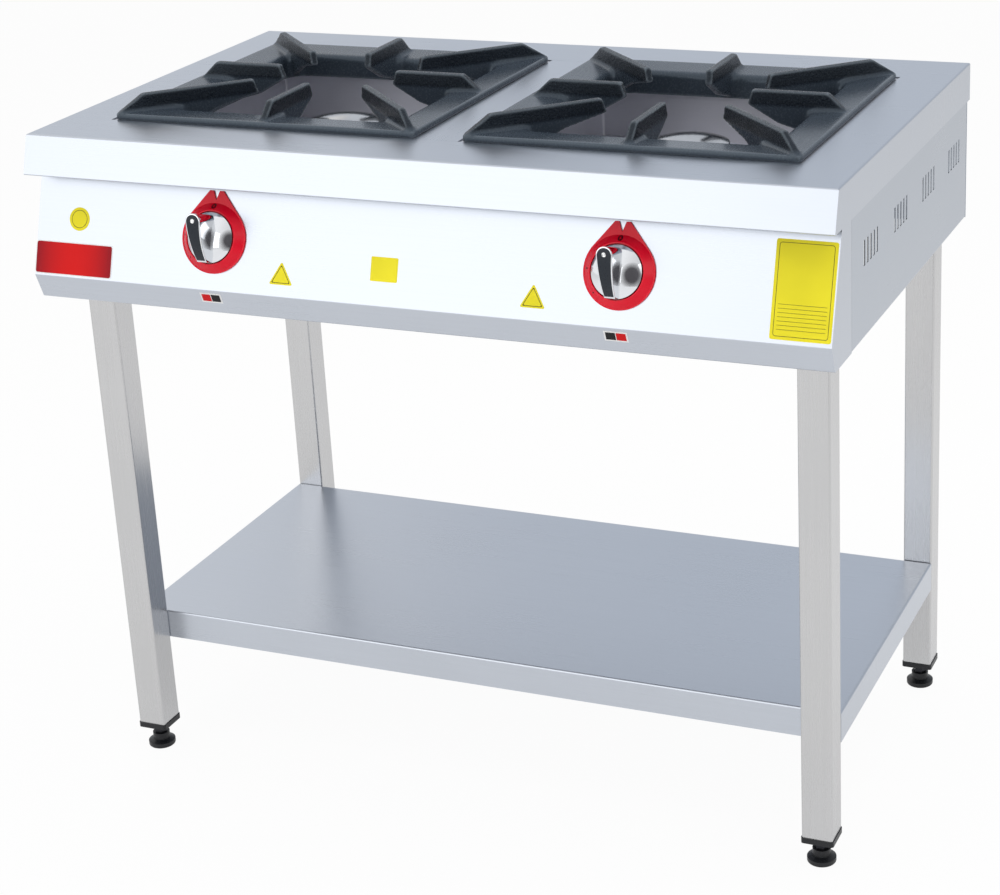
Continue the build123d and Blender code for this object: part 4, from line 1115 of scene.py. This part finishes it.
def build_screws(finish):
    """Screws with washers in place of the CAD's plain ones; each turn points a head out of its sheet."""
    tree = screw_tree()
    turns = {"up": (0, 0, 0), "back": (-math.pi / 2, 0, 0), "front": (math.pi / 2, 0, 0)}
    for name, sizes, way_of in (
        ("back_panel_screws", BACK_SCREW, lambda low: "back"),
        ("burner_screws", BURNER_SCREW, lambda low: "up"),
        ("shelf_bolts", SHELF_BOLT, lambda low: "back" if low.y < 0 else "front"),
    ):
        across, head, shank = sizes
        rows = {}
        for low, high in solid_boxes(name):
            way = way_of(low)
            middle = (low + high) / 2
            seat, length = {
                "up": (Vector((middle.x, middle.y, high.z - head)), high.z - low.z),
                "back": (Vector((middle.x, high.y - head, middle.z)), high.y - low.y),
                "front": (Vector((middle.x, low.y + head, middle.z)), high.y - low.y),
            }[way]
            rows.setdefault(way, ([], length - head))[0].append(seat)
        parts = []
        for way, (seats, reach) in rows.items():
            points = bpy.data.meshes.new("screw_points")
            points.from_pydata(seats, [], [])
            parts.append(run_tree(
                points, tree, Across=across, Head=head, Shank=shank, Reach=reach, Turn=turns[way],
                Finish=finish,
            ))
        mesh = plain_mesh(gathered(parts), name)
        piece = new_piece("turned_" + name, mesh, finish, "range")
        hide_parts(name)


def build_return_springs(finish):
    """The spring behind each knob, as a merged copy of the CAD's spring."""
    for side in SIDES:
        name = "return_spring_" + side
        mesh = plain_mesh(merged_node(name), name)
        mesh.transform(frame["nodes"][name].matrix_world)
        mesh.materials.clear()
        mesh.materials.append(finish)
        piece = placed("wound_" + name, mesh)
        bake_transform(piece)
        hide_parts(name)


# ------------------------ finishes on the CAD pieces
def dress_nodes():
    sheet_x = brushed_steel("brushed_sheet_x", "x", "z")
    sheet_y = brushed_steel("brushed_sheet_y", "y", "z")
    # The side panels get a darker tint than the other sheets: painted shade on the range's sides.
    shaded_side_sheet = brushed_steel("brushed_side_sheet", "x", "y", tint=(0.51, 0.55, 0.61))
    tube = brushed_steel("brushed_leg_tube", "z", tint=(0.61, 0.61, 0.615), rough=(0.2, 0.34))
    # The pans get a lighter tint than the other stainless: painted light that brightens their dim insides.
    pan = brushed_steel("pan_sheet", "x", "z", tint=(0.72, 0.725, 0.78), rough=(0.42, 0.56))
    steel = plain_metal("zinc_plated_steel", (0.56, 0.57, 0.58), 0.32)
    galvanised = plain_metal("galvanised_pipe", (0.48, 0.50, 0.52), 0.42, 0.25, 90.0)
    brass = plain_metal("brass", (0.72, 0.52, 0.22), 0.28)
    copper = plain_metal("copper_tube", (0.80, 0.44, 0.30), 0.3)
    aluminium = plain_metal("cast_aluminium", (0.60, 0.61, 0.62), 0.46, 0.15, 300.0, 0.0002)
    spring = plain_metal("spring_wire", (0.40, 0.40, 0.42), 0.3)
    chrome = plain_metal("bright_chrome", (0.82, 0.84, 0.87), 0.07, 0.04, 20.0, 0.00001)
    black = moulded("black_moulding", (0.010, 0.011, 0.014), 0.36, 500.0, 0.00006, specular=0.4)
    black_steel = plain_metal("blackened_steel", (0.035, 0.036, 0.042), 0.34)
    inlay = moulded("handle_inlay", (0.016, 0.022, 0.032), 0.3, specular=0.3)
    red = moulded("rosette_red", (0.86, 0.002, 0.024), 0.20, specular=0.25)
    iron = burner_iron()
    cap = turned_cap()
    finishes = {
        "top_plate": sheet_x, "top_divider": sheet_y, "front_panel": sheet_x, "back_panel": sheet_x,
        "back_panel_screws": steel, "rail_front": sheet_x, "rail_back": sheet_x, "rail_left": sheet_y,
        "rail_right": sheet_y, "shelf": sheet_x, "shelf_stiffener": sheet_x, "shelf_bolts": steel,
        "burner_screws": steel, "gas_manifold": galvanised, "gas_inlet": steel, "leg_plugs": black,
    }
    for corner in CORNERS:
        finishes["leg_" + corner] = tube
        finishes["foot_stem_" + corner] = black_steel
        finishes["foot_pad_" + corner] = black
    for side in SIDES:
        finishes.update({
            "side_panel_" + side: shaded_side_sheet, "drip_pan_" + side: pan, "burner_body_" + side: iron,
            "burner_cap_" + side: cap, "mixing_tube_" + side: aluminium, "injector_" + side: brass,
            "supply_tube_" + side: copper, "gas_tap_" + side: brass, "thrust_washer_" + side: steel,
            "return_spring_" + side: spring, "spindle_" + side: steel, "knob_" + side: chrome,
            "knob_inlay_" + side: inlay, "rosette_" + side: red,
        })
    for name, finish in finishes.items():
        for place in frame["nodes"][name].material_slots:
            place.material = finish
    build_threads(black_steel, steel)
    build_screws(steel)
    build_return_springs(spring)


build_studio()
place_camera()
dress_nodes()
build_grates(cast_iron())
build_films()
build_dial_marks()
